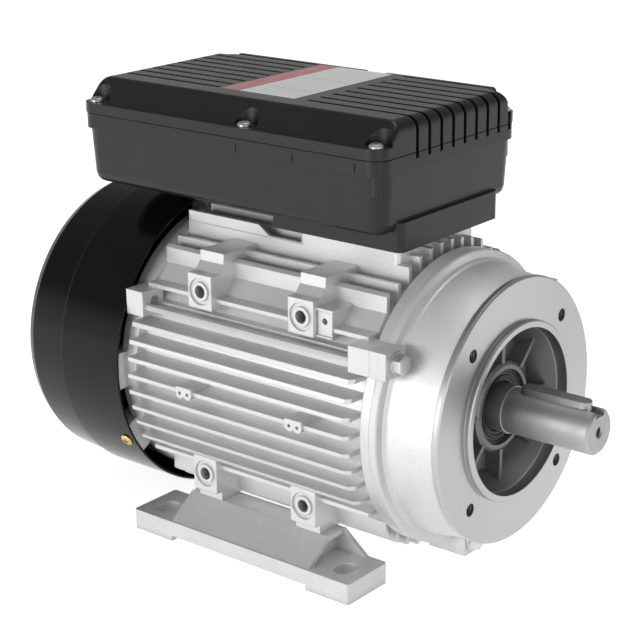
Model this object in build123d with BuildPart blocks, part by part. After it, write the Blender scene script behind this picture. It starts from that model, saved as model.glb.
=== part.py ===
from build123d import *
import math
import os

os.makedirs("parts", exist_ok=True)

# Foot and flange motor of standard 90 frame size. Millimetres, +X out along the shaft,
# +Z up, origin on the shaft axis in the flange's mounting face, near side is -Y.

# standard interface sizes
SHAFT_HEIGHT = 90
FOOT_SPACING_Y = 140
FOOT_SPACING_X = 125
FOOT_FRONT_X = -56
SHAFT_R = 12
SHAFT_STEP_X = -2
SHAFT_LENGTH = 50
KEY_WIDTH = 8
KEY_HEIGHT = 7
KEY_LENGTH = 40
KEY_START_X = 3
KEYWAY_DEPTH = 4
FLANGE_R = 70
SPIGOT_R = 47.5
SPIGOT_HEIGHT = 3
FLANGE_BOLT_R = 57.5
FLANGE_HOLE_R = 3.4

# frame barrel
FRAME_FRONT = -35.4
FRAME_REAR = -199
BORE_R = 65
BARREL_R = 72
RING_R = 78
RING_WIDTH = 5.9
FIN_FRONT = FRAME_FRONT - RING_WIDTH
FIN_END = FIN_FRONT - 3.2
FIN_REAR = -193.5
FIN_TIP_R = 84.5
FIN_THICK = 2.4
SIDE_FIN_PITCH = 9.4
TOP_FIN_PITCH = 9.1
SHORT_FIN_Y = 66
UPPER_FIN_R = 82.5
FIN_ROOT_R = BORE_R + 2
LOW_FIN_TOP = 69.2

# terminal tower on the frame
TOWER_FRONT = -50.6
TOWER_REAR = -115.4
TOWER_HALF = 33
TOWER_TOP = 84.4
TOWER_WALL = 5
TOWER_SCREW_X = 6.5
TOWER_SCREW_Y = 26.5
WIRE_WAY_X = -62.5

# side bosses, near and far, upper and lower
BOSS_X = (-84.2, -152.4)
BOSS_Y = 70
BOSS_Z = 51.5
BOSS_WIDTH = 16.3
BOSS_HALF_TALL = 9.7
BOSS_HOLE_R = 3.4
BOSS_GROOVE_R = 7.3
BOSS_ISLAND_R = 5.3

# lugs that carry the end shield bolts, at 30, 150 and 270 degrees
LUG_ANGLES = (30, 150, 270)
BOLT_CIRCLE_R = 79
LUG_OUT = 77.6
LUG_HALF = 6.9
BOLT_R = 3
BOLT_HEAD_R = 5.6
BOLT_HEAD_H = 4.2
WASHER_R = 6.3
WASHER_H = 1.4

# bearings: 25 bore, 52 outside, 15 wide
BRG_BORE = 12.5
BRG_OUT = 26
BRG_WIDTH = 15
BRG_PITCH_R = 19.25
BALL_R = 3.97
BALL_COUNT = 9
FRONT_BRG_X = -39
REAR_BRG_X = -207

# stator and rotor
CORE_REAR = -155
CORE_FRONT = -70
STATOR_BORE = 40.5
AIR_GAP = 0.4
ROTOR_SEAT_R = 15
OVERHANG = 25
SLOT_COUNT = 24

# feet
FOOT_X0 = -193.4
FOOT_X1 = -43.5
FOOT_OUT = 84.2
FOOT_IN = 51.4
FOOT_PAD_Z = 11.5 - SHAFT_HEIGHT
FOOT_SEAT_Z = 8 - SHAFT_HEIGHT
FOOT_TOP_Z = -66.5
FOOT_RELIEF = 3
FOOT_BLOCK_HALF = 48
FOOT_HOLE_R = 5
FOOT_SLOT_L = 14
FOOT_BOLT_Y = 58.5
FOOT_BOLT_R = 4

# fan cowl and fan
COWL_FRONT = -199.6
COWL_STEP = -243.5
COWL_REAR = -278
COWL_R = 86.6
COWL_REAR_R = COWL_R - 1.1
SHEET = 1.2
COWL_SCREW_X = -206
COWL_ANGLES = (90, 210, 330)
FAN_R = COWL_R - 9.6
FAN_BACK = -252
FAN_HUB_REAR = -243

# capacitor box
BOX_X0 = -245
BOX_X1 = -43
BOX_HALF = 57.5
BOX_LIP_HALF = 60.2
BOX_BOTTOM = COWL_R + 8.9
BOX_LIP_Z = BOX_BOTTOM + 30.2
PARTING_Z = BOX_LIP_Z + 8.6
LEDGE_Z = PARTING_Z + 5.5
LID_TOP = LEDGE_Z + 11.5
LID_HALF = 61
LID_NEAR_TOP = -43.5
LID_FAR_TOP = 58
BOX_WALL = 3
COLLAR_X0 = -126
COLLAR_X1 = -42.2
COLLAR_HALF = 43.3
GASKET_T = 1
COLLAR_Z = TOWER_TOP + GASKET_T
CORNER_R = 8.5
LID_SCREW_X = (-238, -132, -48.5)
LID_SCREW_Y = 54.9
NOTCH_R = 7.6
NOTCH_Y = 54.5
JOINT_GROOVE = 0.5
SLOT_Y0 = 11
SLOT_PITCH = 10.2
SLOT_WIDTH = 2.6
SLOT_DEPTH = 2.5
SLOT_REAR_END = -171
SLOT_FRONT_END = -111
SLOT_FOOT_Z = PARTING_Z - 3.3
LABEL_X0 = -169
LABEL_X1 = -119
LABEL_Y0 = -31
LABEL_Y1 = 53
LABEL_T = 0.4
GLAND_X = -70
GLAND_Z = BOX_BOTTOM + 17.5
GLAND_R = 10
GLAND_FACE = 59
GLAND_BACK = BOX_HALF - 3.5

# small clearances
RUN_GAP = 0.05
FREE_GAP = 0.3


def ray(radius, angle):
    """Point at a radius and angle round the shaft axis, as (y, z)."""
    return (radius * math.cos(math.radians(angle)), radius * math.sin(math.radians(angle)))


# The stator frame: die-cast aluminium barrel with fins, bosses and the terminal tower
with BuildPart() as stator_frame:
    with BuildSketch(Plane.YZ.offset(FIN_REAR)):
        with GridLocations(0, SIDE_FIN_PITCH, 1, 9):
            Rectangle(2 * RING_R + 40, FIN_THICK)
        with Locations((0, 5 * SIDE_FIN_PITCH), (0, -5 * SIDE_FIN_PITCH)):
            Rectangle(2 * SHORT_FIN_Y, FIN_THICK)
        Circle(FIN_TIP_R, mode=Mode.INTERSECT)
        Circle(FIN_ROOT_R, mode=Mode.SUBTRACT)
    extrude(amount=FIN_END - FIN_REAR)
    with BuildSketch(Plane.YZ.offset(FIN_REAR)):
        with GridLocations(TOP_FIN_PITCH, 0, 12, 1):
            Rectangle(FIN_THICK, 2 * RING_R + 40)
        Circle(UPPER_FIN_R, mode=Mode.INTERSECT)
        Circle(FIN_ROOT_R, mode=Mode.SUBTRACT)
        for side in (-1, 1):
            with Locations((side * 5 * TOP_FIN_PITCH, LOW_FIN_TOP + 10)):
                Rectangle(2 * TOP_FIN_PITCH, 20, mode=Mode.SUBTRACT)
    extrude(amount=FIN_END - FIN_REAR)
    # the corner web under the outermost upright fin
    for side in (-1, 1):
        for up in (-1, 1):
            with BuildSketch(Plane.YZ.offset(FIN_REAR)):
                with BuildLine():
                    Polyline((side * 49, up * 50), (side * 50.5, up * 57.4), (side * 58.5, up * 47.6),
                             (side * 54, up * 45), close=True)
                make_face()
            extrude(amount=FIN_END - FIN_REAR)
    # the fin tips are bevelled at the front
    with BuildSketch(Plane.XY):
        with BuildLine():
            Polyline((FIN_END + 1, FIN_TIP_R - 3.5), (FIN_END + 1, FIN_TIP_R + 2),
                     (FIN_END - 4.5, FIN_TIP_R + 2), close=True)
        make_face()
    revolve(axis=Axis.X, mode=Mode.SUBTRACT)
    # barrel with a ring at each end
    with BuildSketch(Plane.XY):
        with BuildLine():
            Polyline((FRAME_REAR, 0), (FRAME_REAR, RING_R), (FRAME_REAR + RING_WIDTH - 0.4, RING_R),
                     (FRAME_REAR + RING_WIDTH - 0.4, BARREL_R), (FIN_FRONT, BARREL_R),
                     (FIN_FRONT, RING_R - 0.6), (FIN_FRONT + 0.6, RING_R), (FRAME_FRONT, RING_R),
                     (FRAME_FRONT, 0), close=True)
        make_face()
    revolve(axis=Axis.X)
    # side bosses
    for x in BOSS_X:
        for side in (-1, 1):
            with BuildSketch(Plane.YZ.offset(x - BOSS_WIDTH / 2)):
                with BuildLine():
                    Polyline((side * BOSS_Y, BOSS_Z - BOSS_HALF_TALL), (side * BOSS_Y, 61), (side * 64, 61),
                             (side * 60, 65.4), (side * 59.5, 71), (side * 31, 71), (side * 31, 60),
                             (side * 52, 45), (side * 56, BOSS_Z - BOSS_HALF_TALL), close=True)
                make_face()
                with BuildLine():
                    Polyline((side * BOSS_Y, -BOSS_Z + BOSS_HALF_TALL), (side * BOSS_Y, -61.5),
                             (side * 66, -61.5), (side * 66, FOOT_TOP_Z), (side * 46, FOOT_TOP_Z),
                             (side * 46, -52), (side * 56, -BOSS_Z + BOSS_HALF_TALL), close=True)
                make_face()
            extrude(amount=BOSS_WIDTH)
    # lugs for the end shield bolts
    for x0, x1 in ((FRAME_FRONT - 13, FRAME_FRONT), (FRAME_REAR, FRAME_REAR + 12)):
        with BuildSketch(Plane.YZ.offset(x0)):
            for angle in LUG_ANGLES:
                y, z = ray(BOLT_CIRCLE_R, angle)
                if angle == 270:
                    with Locations((0, z)):
                        Rectangle(2 * LUG_HALF, 16)
                else:
                    with Locations((math.copysign(LUG_OUT - 8, y), z)):
                        Rectangle(16, 2 * LUG_HALF)
        extrude(amount=x1 - x0)
    # terminal tower and the two upright walls behind it
    with BuildSketch(Plane.XY.offset(FIN_ROOT_R)):
        with Locations(((TOWER_FRONT + TOWER_REAR) / 2, 0)):
            RectangleRounded(TOWER_FRONT - TOWER_REAR, 2 * TOWER_HALF, 3)
    extrude(amount=TOWER_TOP - FIN_ROOT_R)
    for side in (-1, 1):
        with BuildSketch(Plane.XZ.offset(-side * (TOWER_HALF - 1.6))):
            with BuildLine():
                Polyline((FIN_REAR, 60), (FIN_REAR, 81.4), (-143.4, 81.4), (-136, 76.3),
                         (TOWER_REAR + 2, 76.3), (TOWER_REAR + 2, 60), close=True)
            make_face()
        extrude(amount=FIN_THICK / 2, both=True)
    # two small clip bosses on the middle fin of the near side and the earth lug above them
    for x in (-151.2, -76.6):
        with Locations((x, -78, 1.6)):
            Box(10.6, 16.5, 3.2)
        for mode, radius, deep in ((Mode.ADD, 2.9, 16.5), (Mode.SUBTRACT, 0.9, 3)):
            with Locations((x - 2.6, deep / 2 - 86.25, -0.4), (x + 2.6, deep / 2 - 86.25, -0.4)):
                Cylinder(radius, deep, rotation=(90, 0, 0), mode=mode)
    with Locations((-71, -58, 49.8)):
        Box(9.4, 18, 14.4)
    with Locations((-71.6, -57.5, 56.8), (-71.6, -58, 42.8)):
        Box(12, 20, 1.5)
    # bore, tower well, wire hole, threaded holes
    with Locations(((FRAME_FRONT + FRAME_REAR) / 2, 0, 0)):
        Cylinder(BORE_R, FRAME_FRONT - FRAME_REAR + 10, rotation=(0, 90, 0), mode=Mode.SUBTRACT)
    with BuildSketch(Plane.XY.offset(TOWER_TOP)):
        with Locations(((TOWER_FRONT + TOWER_REAR) / 2, 0)):
            RectangleRounded(TOWER_FRONT - TOWER_REAR - 2 * TOWER_WALL, 2 * (TOWER_HALF - TOWER_WALL), 2)
            with GridLocations(TOWER_FRONT - TOWER_REAR - 2 * TOWER_SCREW_X, 2 * TOWER_SCREW_Y, 2, 2):
                Circle(5, mode=Mode.SUBTRACT)
    extrude(amount=-(TOWER_TOP - BARREL_R), mode=Mode.SUBTRACT)
    with BuildSketch(Plane.XY.offset(BARREL_R + 1)):
        with Locations((WIRE_WAY_X, 0)):
            SlotOverall(34, 9, rotation=90)
    extrude(amount=-14, mode=Mode.SUBTRACT)
    with BuildSketch(Plane.XY.offset(TOWER_TOP)):
        with Locations(((TOWER_FRONT + TOWER_REAR) / 2, 0)):
            with GridLocations(TOWER_FRONT - TOWER_REAR - 2 * TOWER_SCREW_X, 2 * TOWER_SCREW_Y, 2, 2):
                Circle(2)
    extrude(amount=-11, mode=Mode.SUBTRACT)
    for side in (-1, 1):
        with BuildSketch(Plane.XZ.offset(-side * BOSS_Y)):
            for x in BOSS_X:
                with Locations((x, BOSS_Z), (x, -BOSS_Z)):
                    Circle(BOSS_GROOVE_R)
                    Circle(BOSS_ISLAND_R, mode=Mode.SUBTRACT)
        extrude(amount=side * 1.2, mode=Mode.SUBTRACT)
        with BuildSketch(Plane.XZ.offset(-side * BOSS_Y)):
            for x in BOSS_X:
                with Locations((x, BOSS_Z), (x, -BOSS_Z)):
                    Circle(BOSS_HOLE_R)
        extrude(amount=side * 14, mode=Mode.SUBTRACT)
    with BuildSketch(Plane.YZ.offset(FRAME_REAR)):
        for angle in LUG_ANGLES:
            with Locations(ray(BOLT_CIRCLE_R, angle)):
                Circle(BOLT_R)
    extrude(amount=FRAME_FRONT - FRAME_REAR, mode=Mode.SUBTRACT)
    with Locations((-71, -67, 51)):
        Cylinder(1.6, 16, rotation=(90, 0, 0), mode=Mode.SUBTRACT)
    for x in BOSS_X:
        for side in (-1, 1):
            with Locations((x, side * FOOT_BOLT_Y, FOOT_TOP_Z)):
                Cylinder(FOOT_BOLT_R, 26, mode=Mode.SUBTRACT)
stator_frame.part.label = "stator_frame"
export_step(stator_frame.part, "parts/stator_frame.step")

# Front end shield: flange face, deep cup with eight ribs, bearing housing
HUB_FRONT = -8
CUP_FLOOR = -18
CUP_RIB_FRONT = -8.7
SHIELD_RIM_FRONT = -31.2
SEAL_X0 = -16.5
SEAL_WIDTH = 7
SEAL_SEAT_R = 20
FRONT_LUG_FRONT = -25.4
with BuildPart() as front_end_shield:
    with BuildSketch(Plane.XY):
        with BuildLine():
            Polyline((SPIGOT_HEIGHT, 44), (SPIGOT_HEIGHT, SPIGOT_R - 0.6), (SPIGOT_HEIGHT - 0.6, SPIGOT_R),
                     (0, SPIGOT_R), (0, FLANGE_R - 0.8), (-0.8, FLANGE_R), (-3.5, FLANGE_R),
                     (-3.5, FLANGE_R - 0.9), (-4.3, FLANGE_R - 0.9), (-28, 72.2), (-29.2, 72.6),
                     (-30.4, 74), (SHIELD_RIM_FRONT, RING_R - 0.6), (SHIELD_RIM_FRONT - 0.6, RING_R),
                     (FRAME_FRONT, RING_R), (FRAME_FRONT, BORE_R), (FRAME_FRONT - 5, BORE_R),
                     (FRAME_FRONT - 5, 61.5), (-13, 60.5), (-12, 59.5), (-12, 46), (-23, 38.5),
                     (-23.5, 32), (FRONT_BRG_X - 1, 31.5), (FRONT_BRG_X - 1, BRG_OUT),
                     (FRONT_BRG_X + BRG_WIDTH, BRG_OUT), (FRONT_BRG_X + BRG_WIDTH, 17),
                     (SEAL_X0, 17), (SEAL_X0, SEAL_SEAT_R), (HUB_FRONT, SEAL_SEAT_R),
                     (HUB_FRONT, 22.2), (-9.4, 23.8),
                     (CUP_FLOOR, 24.6), (CUP_FLOOR, 36), (-3, 43.6), close=True)
        make_face()
    revolve(axis=Axis.X)
    for k in range(8):
        with BuildSketch(Plane(origin=(0, 0, 0), x_dir=(1, 0, 0),
                               z_dir=(0, math.sin(math.pi * k / 4), -math.cos(math.pi * k / 4)))):
            with BuildLine():
                Polyline((CUP_FLOOR - 1, 24), (CUP_RIB_FRONT, 23.4), (CUP_RIB_FRONT, 41),
                         (CUP_FLOOR - 1, 36.5), close=True)
            make_face()
        extrude(amount=1.2, both=True)
    with BuildSketch(Plane.YZ.offset(FRAME_FRONT)):
        for angle in LUG_ANGLES:
            y, z = ray(BOLT_CIRCLE_R, angle)
            if angle == 270:
                with Locations((0, z)):
                    Rectangle(2 * LUG_HALF, 16)
            else:
                with Locations((math.copysign(LUG_OUT - 8, y), z)):
                    Rectangle(16, 2 * LUG_HALF)
    extrude(amount=FRONT_LUG_FRONT - FRAME_FRONT)
    with BuildSketch(Plane.YZ.offset(FRAME_FRONT)):
        for angle in LUG_ANGLES:
            with Locations(ray(BOLT_CIRCLE_R, angle)):
                Circle(BOLT_R + FREE_GAP)
    extrude(amount=FRONT_LUG_FRONT - FRAME_FRONT, mode=Mode.SUBTRACT)
    with BuildSketch(Plane.YZ):
        with PolarLocations(FLANGE_BOLT_R, 4, start_angle=45):
            Circle(FLANGE_HOLE_R)
    extrude(amount=-13, mode=Mode.SUBTRACT)
front_end_shield.part.label = "front_end_shield"
export_step(front_end_shield.part, "parts/front_end_shield.step")

# Rear end shield with rear bearing housing, rounded bolt lugs and cowl tabs
REAR_RIM = FRAME_REAR - 6
REAR_WALL = REAR_BRG_X - 1.2
with BuildPart() as rear_end_shield:
    with BuildSketch(Plane.XY):
        with BuildLine():
            Polyline((FRAME_REAR + 5, BORE_R), (FRAME_REAR, BORE_R), (FRAME_REAR, RING_R),
                     (REAR_RIM + 0.8, RING_R), (REAR_RIM, RING_R - 0.8), (REAR_RIM, 60), (-200, 36),
                     (REAR_WALL - 3.5, 32), (REAR_WALL - 3.5, 11.5), (REAR_WALL, 11.5),
                     (REAR_WALL, BRG_OUT), (REAR_BRG_X + BRG_WIDTH - 0.5, BRG_OUT),
                     (REAR_BRG_X + BRG_WIDTH - 0.5, 31.5), (-196, 37), (-200.5, 58), (-200, 61.5),
                     (FRAME_REAR + 5, 61.5), close=True)
        make_face()
    revolve(axis=Axis.X)
    for k in range(6):
        with BuildSketch(Plane(origin=(0, 0, 0), x_dir=(1, 0, 0),
                               z_dir=(0, math.sin(math.pi * k / 3), -math.cos(math.pi * k / 3)))):
            with BuildLine():
                Polyline((REAR_WALL - 3, 31), (-201, 35), (REAR_RIM + 1, 61), (REAR_RIM - 0.5, 62),
                         close=True)
            make_face()
        extrude(amount=1.5, both=True)
    with BuildSketch(Plane.YZ.offset(REAR_RIM - 1)):
        for angle in LUG_ANGLES:
            with Locations(ray(BOLT_CIRCLE_R - 0.4, angle)):
                Circle(5.6)
    extrude(amount=FRAME_REAR - REAR_RIM + 1)
    for angle in COWL_ANGLES + (0, 180):
        with BuildSketch(Plane.YZ.offset(COWL_SCREW_X - 6)):
            with BuildLine():
                a = ray(72, angle - 8)
                b = ray(COWL_R - SHEET, angle - 7)
                m = ray(COWL_R - SHEET, angle)
                c = ray(COWL_R - SHEET, angle + 7)
                d = ray(72, angle + 8)
                ThreePointArc(b, m, c)
                Polyline(c, d, a, b)
            make_face()
        extrude(amount=REAR_RIM + 4 - COWL_SCREW_X + 6)
    with BuildSketch(Plane.YZ.offset(REAR_RIM - 2)):
        for angle in LUG_ANGLES:
            with Locations(ray(BOLT_CIRCLE_R, angle)):
                Circle(BOLT_R + FREE_GAP)
    extrude(amount=10, mode=Mode.SUBTRACT)
    for angle in COWL_ANGLES:
        y, z = ray(COWL_R - 6.6, angle)
        with Locations(Location(Plane(origin=(COWL_SCREW_X, y, z), z_dir=(0, y, z)))):
            Cylinder(2, 16, mode=Mode.SUBTRACT)
rear_end_shield.part.label = "rear_end_shield"
export_step(rear_end_shield.part, "parts/rear_end_shield.step")

# Hexagon bolts with washers that hold the end shields
for name, face_x, way, grip in (("front_shield_bolts", FRONT_LUG_FRONT, 1, 23),
                                ("rear_shield_bolts", REAR_RIM - 1, -1, 15)):
    with BuildPart() as bolts:
        for angle in LUG_ANGLES:
            y, z = ray(BOLT_CIRCLE_R, angle)
            with BuildSketch(Plane.YZ.offset(face_x)):
                with Locations((y, z)):
                    Circle(WASHER_R if way > 0 else 5.4)
            extrude(amount=way * WASHER_H)
            with BuildSketch(Plane.YZ.offset(face_x + way * WASHER_H)):
                with Locations((y, z)):
                    RegularPolygon(BOLT_HEAD_R if way > 0 else 5, 6, rotation=angle)
            extrude(amount=way * BOLT_HEAD_H)
            with BuildSketch(Plane.YZ.offset(face_x)):
                with Locations((y, z)):
                    Circle(BOLT_R)
            extrude(amount=-way * grip)
    bolts.part.label = name
    export_step(bolts.part, "parts/" + name + ".step")

# Feet: cast aluminium, slotted pads at both ends of a raised, sloping block
for name, side in (("foot_near", -1), ("foot_far", 1)):
    with BuildPart() as foot:
        mid_x = (FOOT_X0 + FOOT_X1) / 2
        mid_y = side * (FOOT_OUT + FOOT_IN) / 2
        with Locations((mid_x, mid_y, (FOOT_PAD_Z - SHAFT_HEIGHT) / 2)):
            Box(FOOT_X1 - FOOT_X0, FOOT_OUT - FOOT_IN, FOOT_PAD_Z + SHAFT_HEIGHT)
        with BuildSketch(Plane.YZ.offset(mid_x - FOOT_BLOCK_HALF)):
            with BuildLine():
                Polyline((side * (FOOT_OUT - 1.6), FOOT_PAD_Z - 1), (side * (FOOT_OUT - 1.6), FOOT_PAD_Z),
                         (side * 66, FOOT_TOP_Z), (side * FOOT_IN, FOOT_TOP_Z),
                         (side * FOOT_IN, FOOT_PAD_Z - 1), close=True)
            make_face()
        extrude(amount=2 * FOOT_BLOCK_HALF)
        # back wing that runs down onto the pads
        with BuildSketch(Plane.XZ.offset(-side * (FOOT_IN + 1.25))):
            with BuildLine():
                Polyline((mid_x - FOOT_BLOCK_HALF - 15, FOOT_PAD_Z), (mid_x - FOOT_BLOCK_HALF, FOOT_TOP_Z),
                         (mid_x + FOOT_BLOCK_HALF, FOOT_TOP_Z), (mid_x + FOOT_BLOCK_HALF + 15, FOOT_PAD_Z),
                         close=True)
            make_face()
        extrude(amount=1.25, both=True)
        vertical = foot.edges().filter_by(Axis.Z).filter_by_position(Axis.Z, 4 - SHAFT_HEIGHT, FOOT_SEAT_Z)
        fillet(vertical, 1.6)
        # end pockets behind the sloping plate
        for end in (-1, 1):
            with BuildSketch(Plane.YZ.offset(mid_x + end * FOOT_BLOCK_HALF)):
                with BuildLine():
                    Polyline((side * (FOOT_OUT - 6.5), FOOT_PAD_Z), (side * 67, FOOT_TOP_Z - 3.4),
                             (side * 63, FOOT_TOP_Z - 2.8), (side * (FOOT_IN + 2.5), FOOT_TOP_Z - 2.8),
                             (side * (FOOT_IN + 2.5), FOOT_PAD_Z), close=True)
                make_face()
            extrude(amount=-end * 4.5, mode=Mode.SUBTRACT)
        # relief under the middle and hollow below the block
        with Locations((mid_x, mid_y, -SHAFT_HEIGHT)):
            Box(2 * FOOT_BLOCK_HALF - 2, FOOT_OUT - FOOT_IN + 2, 2 * FOOT_RELIEF, mode=Mode.SUBTRACT)
        with BuildSketch(Plane.YZ.offset(mid_x - FOOT_BLOCK_HALF + 8)):
            with BuildLine():
                sole = 2 - SHAFT_HEIGHT
                roof = FOOT_TOP_Z - 4.5
                Polyline((side * (FOOT_OUT - 5), sole), (side * (FOOT_OUT - 5), FOOT_PAD_Z - 2.5),
                         (side * 68, roof), (side * (FOOT_IN + 4), roof), (side * (FOOT_IN + 4), sole),
                         close=True)
            make_face()
        extrude(amount=2 * FOOT_BLOCK_HALF - 16, mode=Mode.SUBTRACT)
        for x in BOSS_X:
            with Locations((x, side * FOOT_BOLT_Y, (FOOT_SEAT_Z + FOOT_TOP_Z - 3.5) / 2)):
                Cylinder(7, FOOT_TOP_Z - 3.5 - FOOT_SEAT_Z)
        for x in BOSS_X:
            with Locations((x, side * FOOT_BOLT_Y, -75)):
                Cylinder(FOOT_BOLT_R + FREE_GAP, 30, mode=Mode.SUBTRACT)
            with Locations((x, side * FOOT_BOLT_Y, FOOT_SEAT_Z - 6)):
                Cylinder(7, 12, mode=Mode.SUBTRACT)
        with Locations((FOOT_FRONT_X, side * FOOT_SPACING_Y / 2, -SHAFT_HEIGHT),
                       (FOOT_FRONT_X - FOOT_SPACING_X, side * FOOT_SPACING_Y / 2, -SHAFT_HEIGHT)):
            Box(2 * FOOT_HOLE_R, FOOT_SLOT_L - 2 * FOOT_HOLE_R, 40, mode=Mode.SUBTRACT)
            with Locations((0, FOOT_SLOT_L / 2 - FOOT_HOLE_R, 0), (0, FOOT_HOLE_R - FOOT_SLOT_L / 2, 0)):
                Cylinder(FOOT_HOLE_R, 40, mode=Mode.SUBTRACT)
    foot.part.label = name
    export_step(foot.part, "parts/" + name + ".step")

# Socket head bolts that hold the feet, driven from below
with BuildPart() as foot_bolts:
    for x in BOSS_X:
        for side in (-1, 1):
            with Locations((x, side * FOOT_BOLT_Y, (FOOT_SEAT_Z + FOOT_TOP_Z + 12) / 2)):
                Cylinder(FOOT_BOLT_R, FOOT_TOP_Z + 12 - FOOT_SEAT_Z)
            with Locations((x, side * FOOT_BOLT_Y, FOOT_SEAT_Z - 2.75)):
                Cylinder(6.5, 5.5)
            with BuildSketch(Plane.XY.offset(FOOT_SEAT_Z - 5.5)):
                with Locations((x, side * FOOT_BOLT_Y)):
                    RegularPolygon(3.4, 6)
            extrude(amount=4, mode=Mode.SUBTRACT)
foot_bolts.part.label = "foot_bolts"
export_step(foot_bolts.part, "parts/foot_bolts.step")

# Fan cowl: pressed sheet steel, stepped, with ringed air slots in the rear face
with BuildPart() as fan_cowl:
    with BuildSketch(Plane.XY):
        with BuildLine():
            outer = [(COWL_FRONT, COWL_R), (COWL_STEP + 0.6, COWL_R), (COWL_STEP - 0.6, COWL_REAR_R),
                     (COWL_REAR + 9, COWL_REAR_R - 1.5), (COWL_REAR + 4.5, COWL_REAR_R - 3.5),
                     (COWL_REAR + 1.2, COWL_REAR_R - 7.5), (COWL_REAR, COWL_REAR_R - 12.5), (COWL_REAR, 0)]
            inner = [(COWL_REAR + SHEET, 0), (COWL_REAR + SHEET, COWL_REAR_R - 12.6),
                     (COWL_REAR + 1.1 + SHEET, COWL_REAR_R - 8.1), (COWL_REAR + 5.2, COWL_REAR_R - 4.5),
                     (COWL_REAR + 9.2, COWL_REAR_R - 1.5 - SHEET),
                     (COWL_STEP - 0.6, COWL_REAR_R - SHEET), (COWL_STEP + 0.6, COWL_R - SHEET),
                     (COWL_FRONT, COWL_R - SHEET)]
            Polyline(outer + inner, close=True)
        make_face()
    revolve(axis=Axis.X)
    for ring_r, count in ((20, 6), (31, 6), (42, 8), (53, 8), (64, 12)):
        with BuildSketch(Plane.YZ.offset(COWL_REAR - 1)):
            for k in range(count):
                step = 360 / count
                half = step / 2 - math.degrees(3.4 / ring_r)
                with BuildLine():
                    p0, p1, p2 = (ray(ring_r - 3, k * step + t) for t in (-half, 0, half))
                    q0, q1, q2 = (ray(ring_r + 3, k * step + t) for t in (-half, 0, half))
                    ThreePointArc(p0, p1, p2)
                    ThreePointArc(q0, q1, q2)
                    Line(p0, q0)
                    Line(p2, q2)
                make_face()
        extrude(amount=6, mode=Mode.SUBTRACT)
    for angle in COWL_ANGLES:
        y, z = ray(COWL_R, angle)
        with Locations(Location(Plane(origin=(COWL_SCREW_X, y, z), z_dir=(0, y, z)))):
            Cylinder(2.3, 8, mode=Mode.SUBTRACT)
fan_cowl.part.label = "fan_cowl"
export_step(fan_cowl.part, "parts/fan_cowl.step")

with BuildPart() as cowl_screws:
    for angle in COWL_ANGLES:
        y, z = ray(COWL_R, angle)
        with BuildSketch(Plane(origin=(COWL_SCREW_X, y, z), z_dir=(0, y, z))):
            Circle(3.9)
        extrude(amount=2, taper=18)
        with BuildSketch(Plane(origin=(COWL_SCREW_X, y, z), z_dir=(0, y, z))):
            Circle(2)
        extrude(amount=-11)
        with BuildSketch(Plane(origin=(COWL_SCREW_X, y, z), z_dir=(0, y, z)).offset(2)):
            Rectangle(4.4, 0.9)
            Rectangle(0.9, 4.4)
        extrude(amount=-1, mode=Mode.SUBTRACT)
cowl_screws.part.label = "cowl_screws"
export_step(cowl_screws.part, "parts/cowl_screws.step")

# Shaft, stepped, with an open keyway and a centre hole
with BuildPart() as shaft:
    end_x = SHAFT_STEP_X + SHAFT_LENGTH
    with BuildSketch(Plane.XY):
        with BuildLine():
            Polyline((-249, 0), (-249, 8.2), (-248.2, 9), (-244.4, 9), (-244.4, 8.4), (FAN_HUB_REAR, 8.4),
                     (FAN_HUB_REAR, 9), (-222, 9), (-222, 10), (REAR_BRG_X, 10), (REAR_BRG_X, BRG_BORE),
                     (REAR_BRG_X + BRG_WIDTH, BRG_BORE), (REAR_BRG_X + BRG_WIDTH, ROTOR_SEAT_R),
                     (FRONT_BRG_X, ROTOR_SEAT_R), (FRONT_BRG_X, BRG_BORE), (SHAFT_STEP_X, BRG_BORE),
                     (SHAFT_STEP_X, SHAFT_R), (end_x - 1.2, SHAFT_R), (end_x, SHAFT_R - 1.2),
                     (end_x, 3.2), (end_x - 1, 2.5), (end_x - 16, 2.5), (end_x - 17.5, 0), close=True)
        make_face()
    revolve(axis=Axis.X)
    with BuildSketch(Plane.XY.offset(SHAFT_R - KEYWAY_DEPTH)):
        with Locations((KEY_START_X + KEY_WIDTH / 2, 0)):
            Circle(KEY_WIDTH / 2)
        with Locations(((KEY_START_X + KEY_WIDTH / 2 + end_x + 2) / 2, 0)):
            Rectangle(end_x + 2 - KEY_START_X - KEY_WIDTH / 2, KEY_WIDTH)
    extrude(amount=10, mode=Mode.SUBTRACT)
shaft.part.label = "shaft"
export_step(shaft.part, "parts/shaft.step")

with BuildPart() as shaft_key:
    with BuildSketch(Plane.XY.offset(SHAFT_R - KEYWAY_DEPTH)):
        with Locations((KEY_START_X + KEY_LENGTH / 2, 0)):
            SlotOverall(KEY_LENGTH, KEY_WIDTH)
    extrude(amount=KEY_HEIGHT)
    chamfer(shaft_key.faces().sort_by(Axis.Z)[-1].edges(), 0.4)
shaft_key.part.label = "shaft_key"
export_step(shaft_key.part, "parts/shaft_key.step")

# Laminated stator core with open slots, pressed into the frame
with BuildPart() as stator_core:
    with BuildSketch(Plane.YZ.offset(CORE_REAR)):
        Circle(BORE_R)
        Circle(STATOR_BORE, mode=Mode.SUBTRACT)
        with PolarLocations(48, SLOT_COUNT):
            Rectangle(12, 7, mode=Mode.SUBTRACT)
        with PolarLocations(STATOR_BORE + 0.5, SLOT_COUNT):
            Rectangle(4, 2.6, mode=Mode.SUBTRACT)
    extrude(amount=CORE_FRONT - CORE_REAR)
stator_core.part.label = "stator_core"
export_step(stator_core.part, "parts/stator_core.step")

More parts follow.
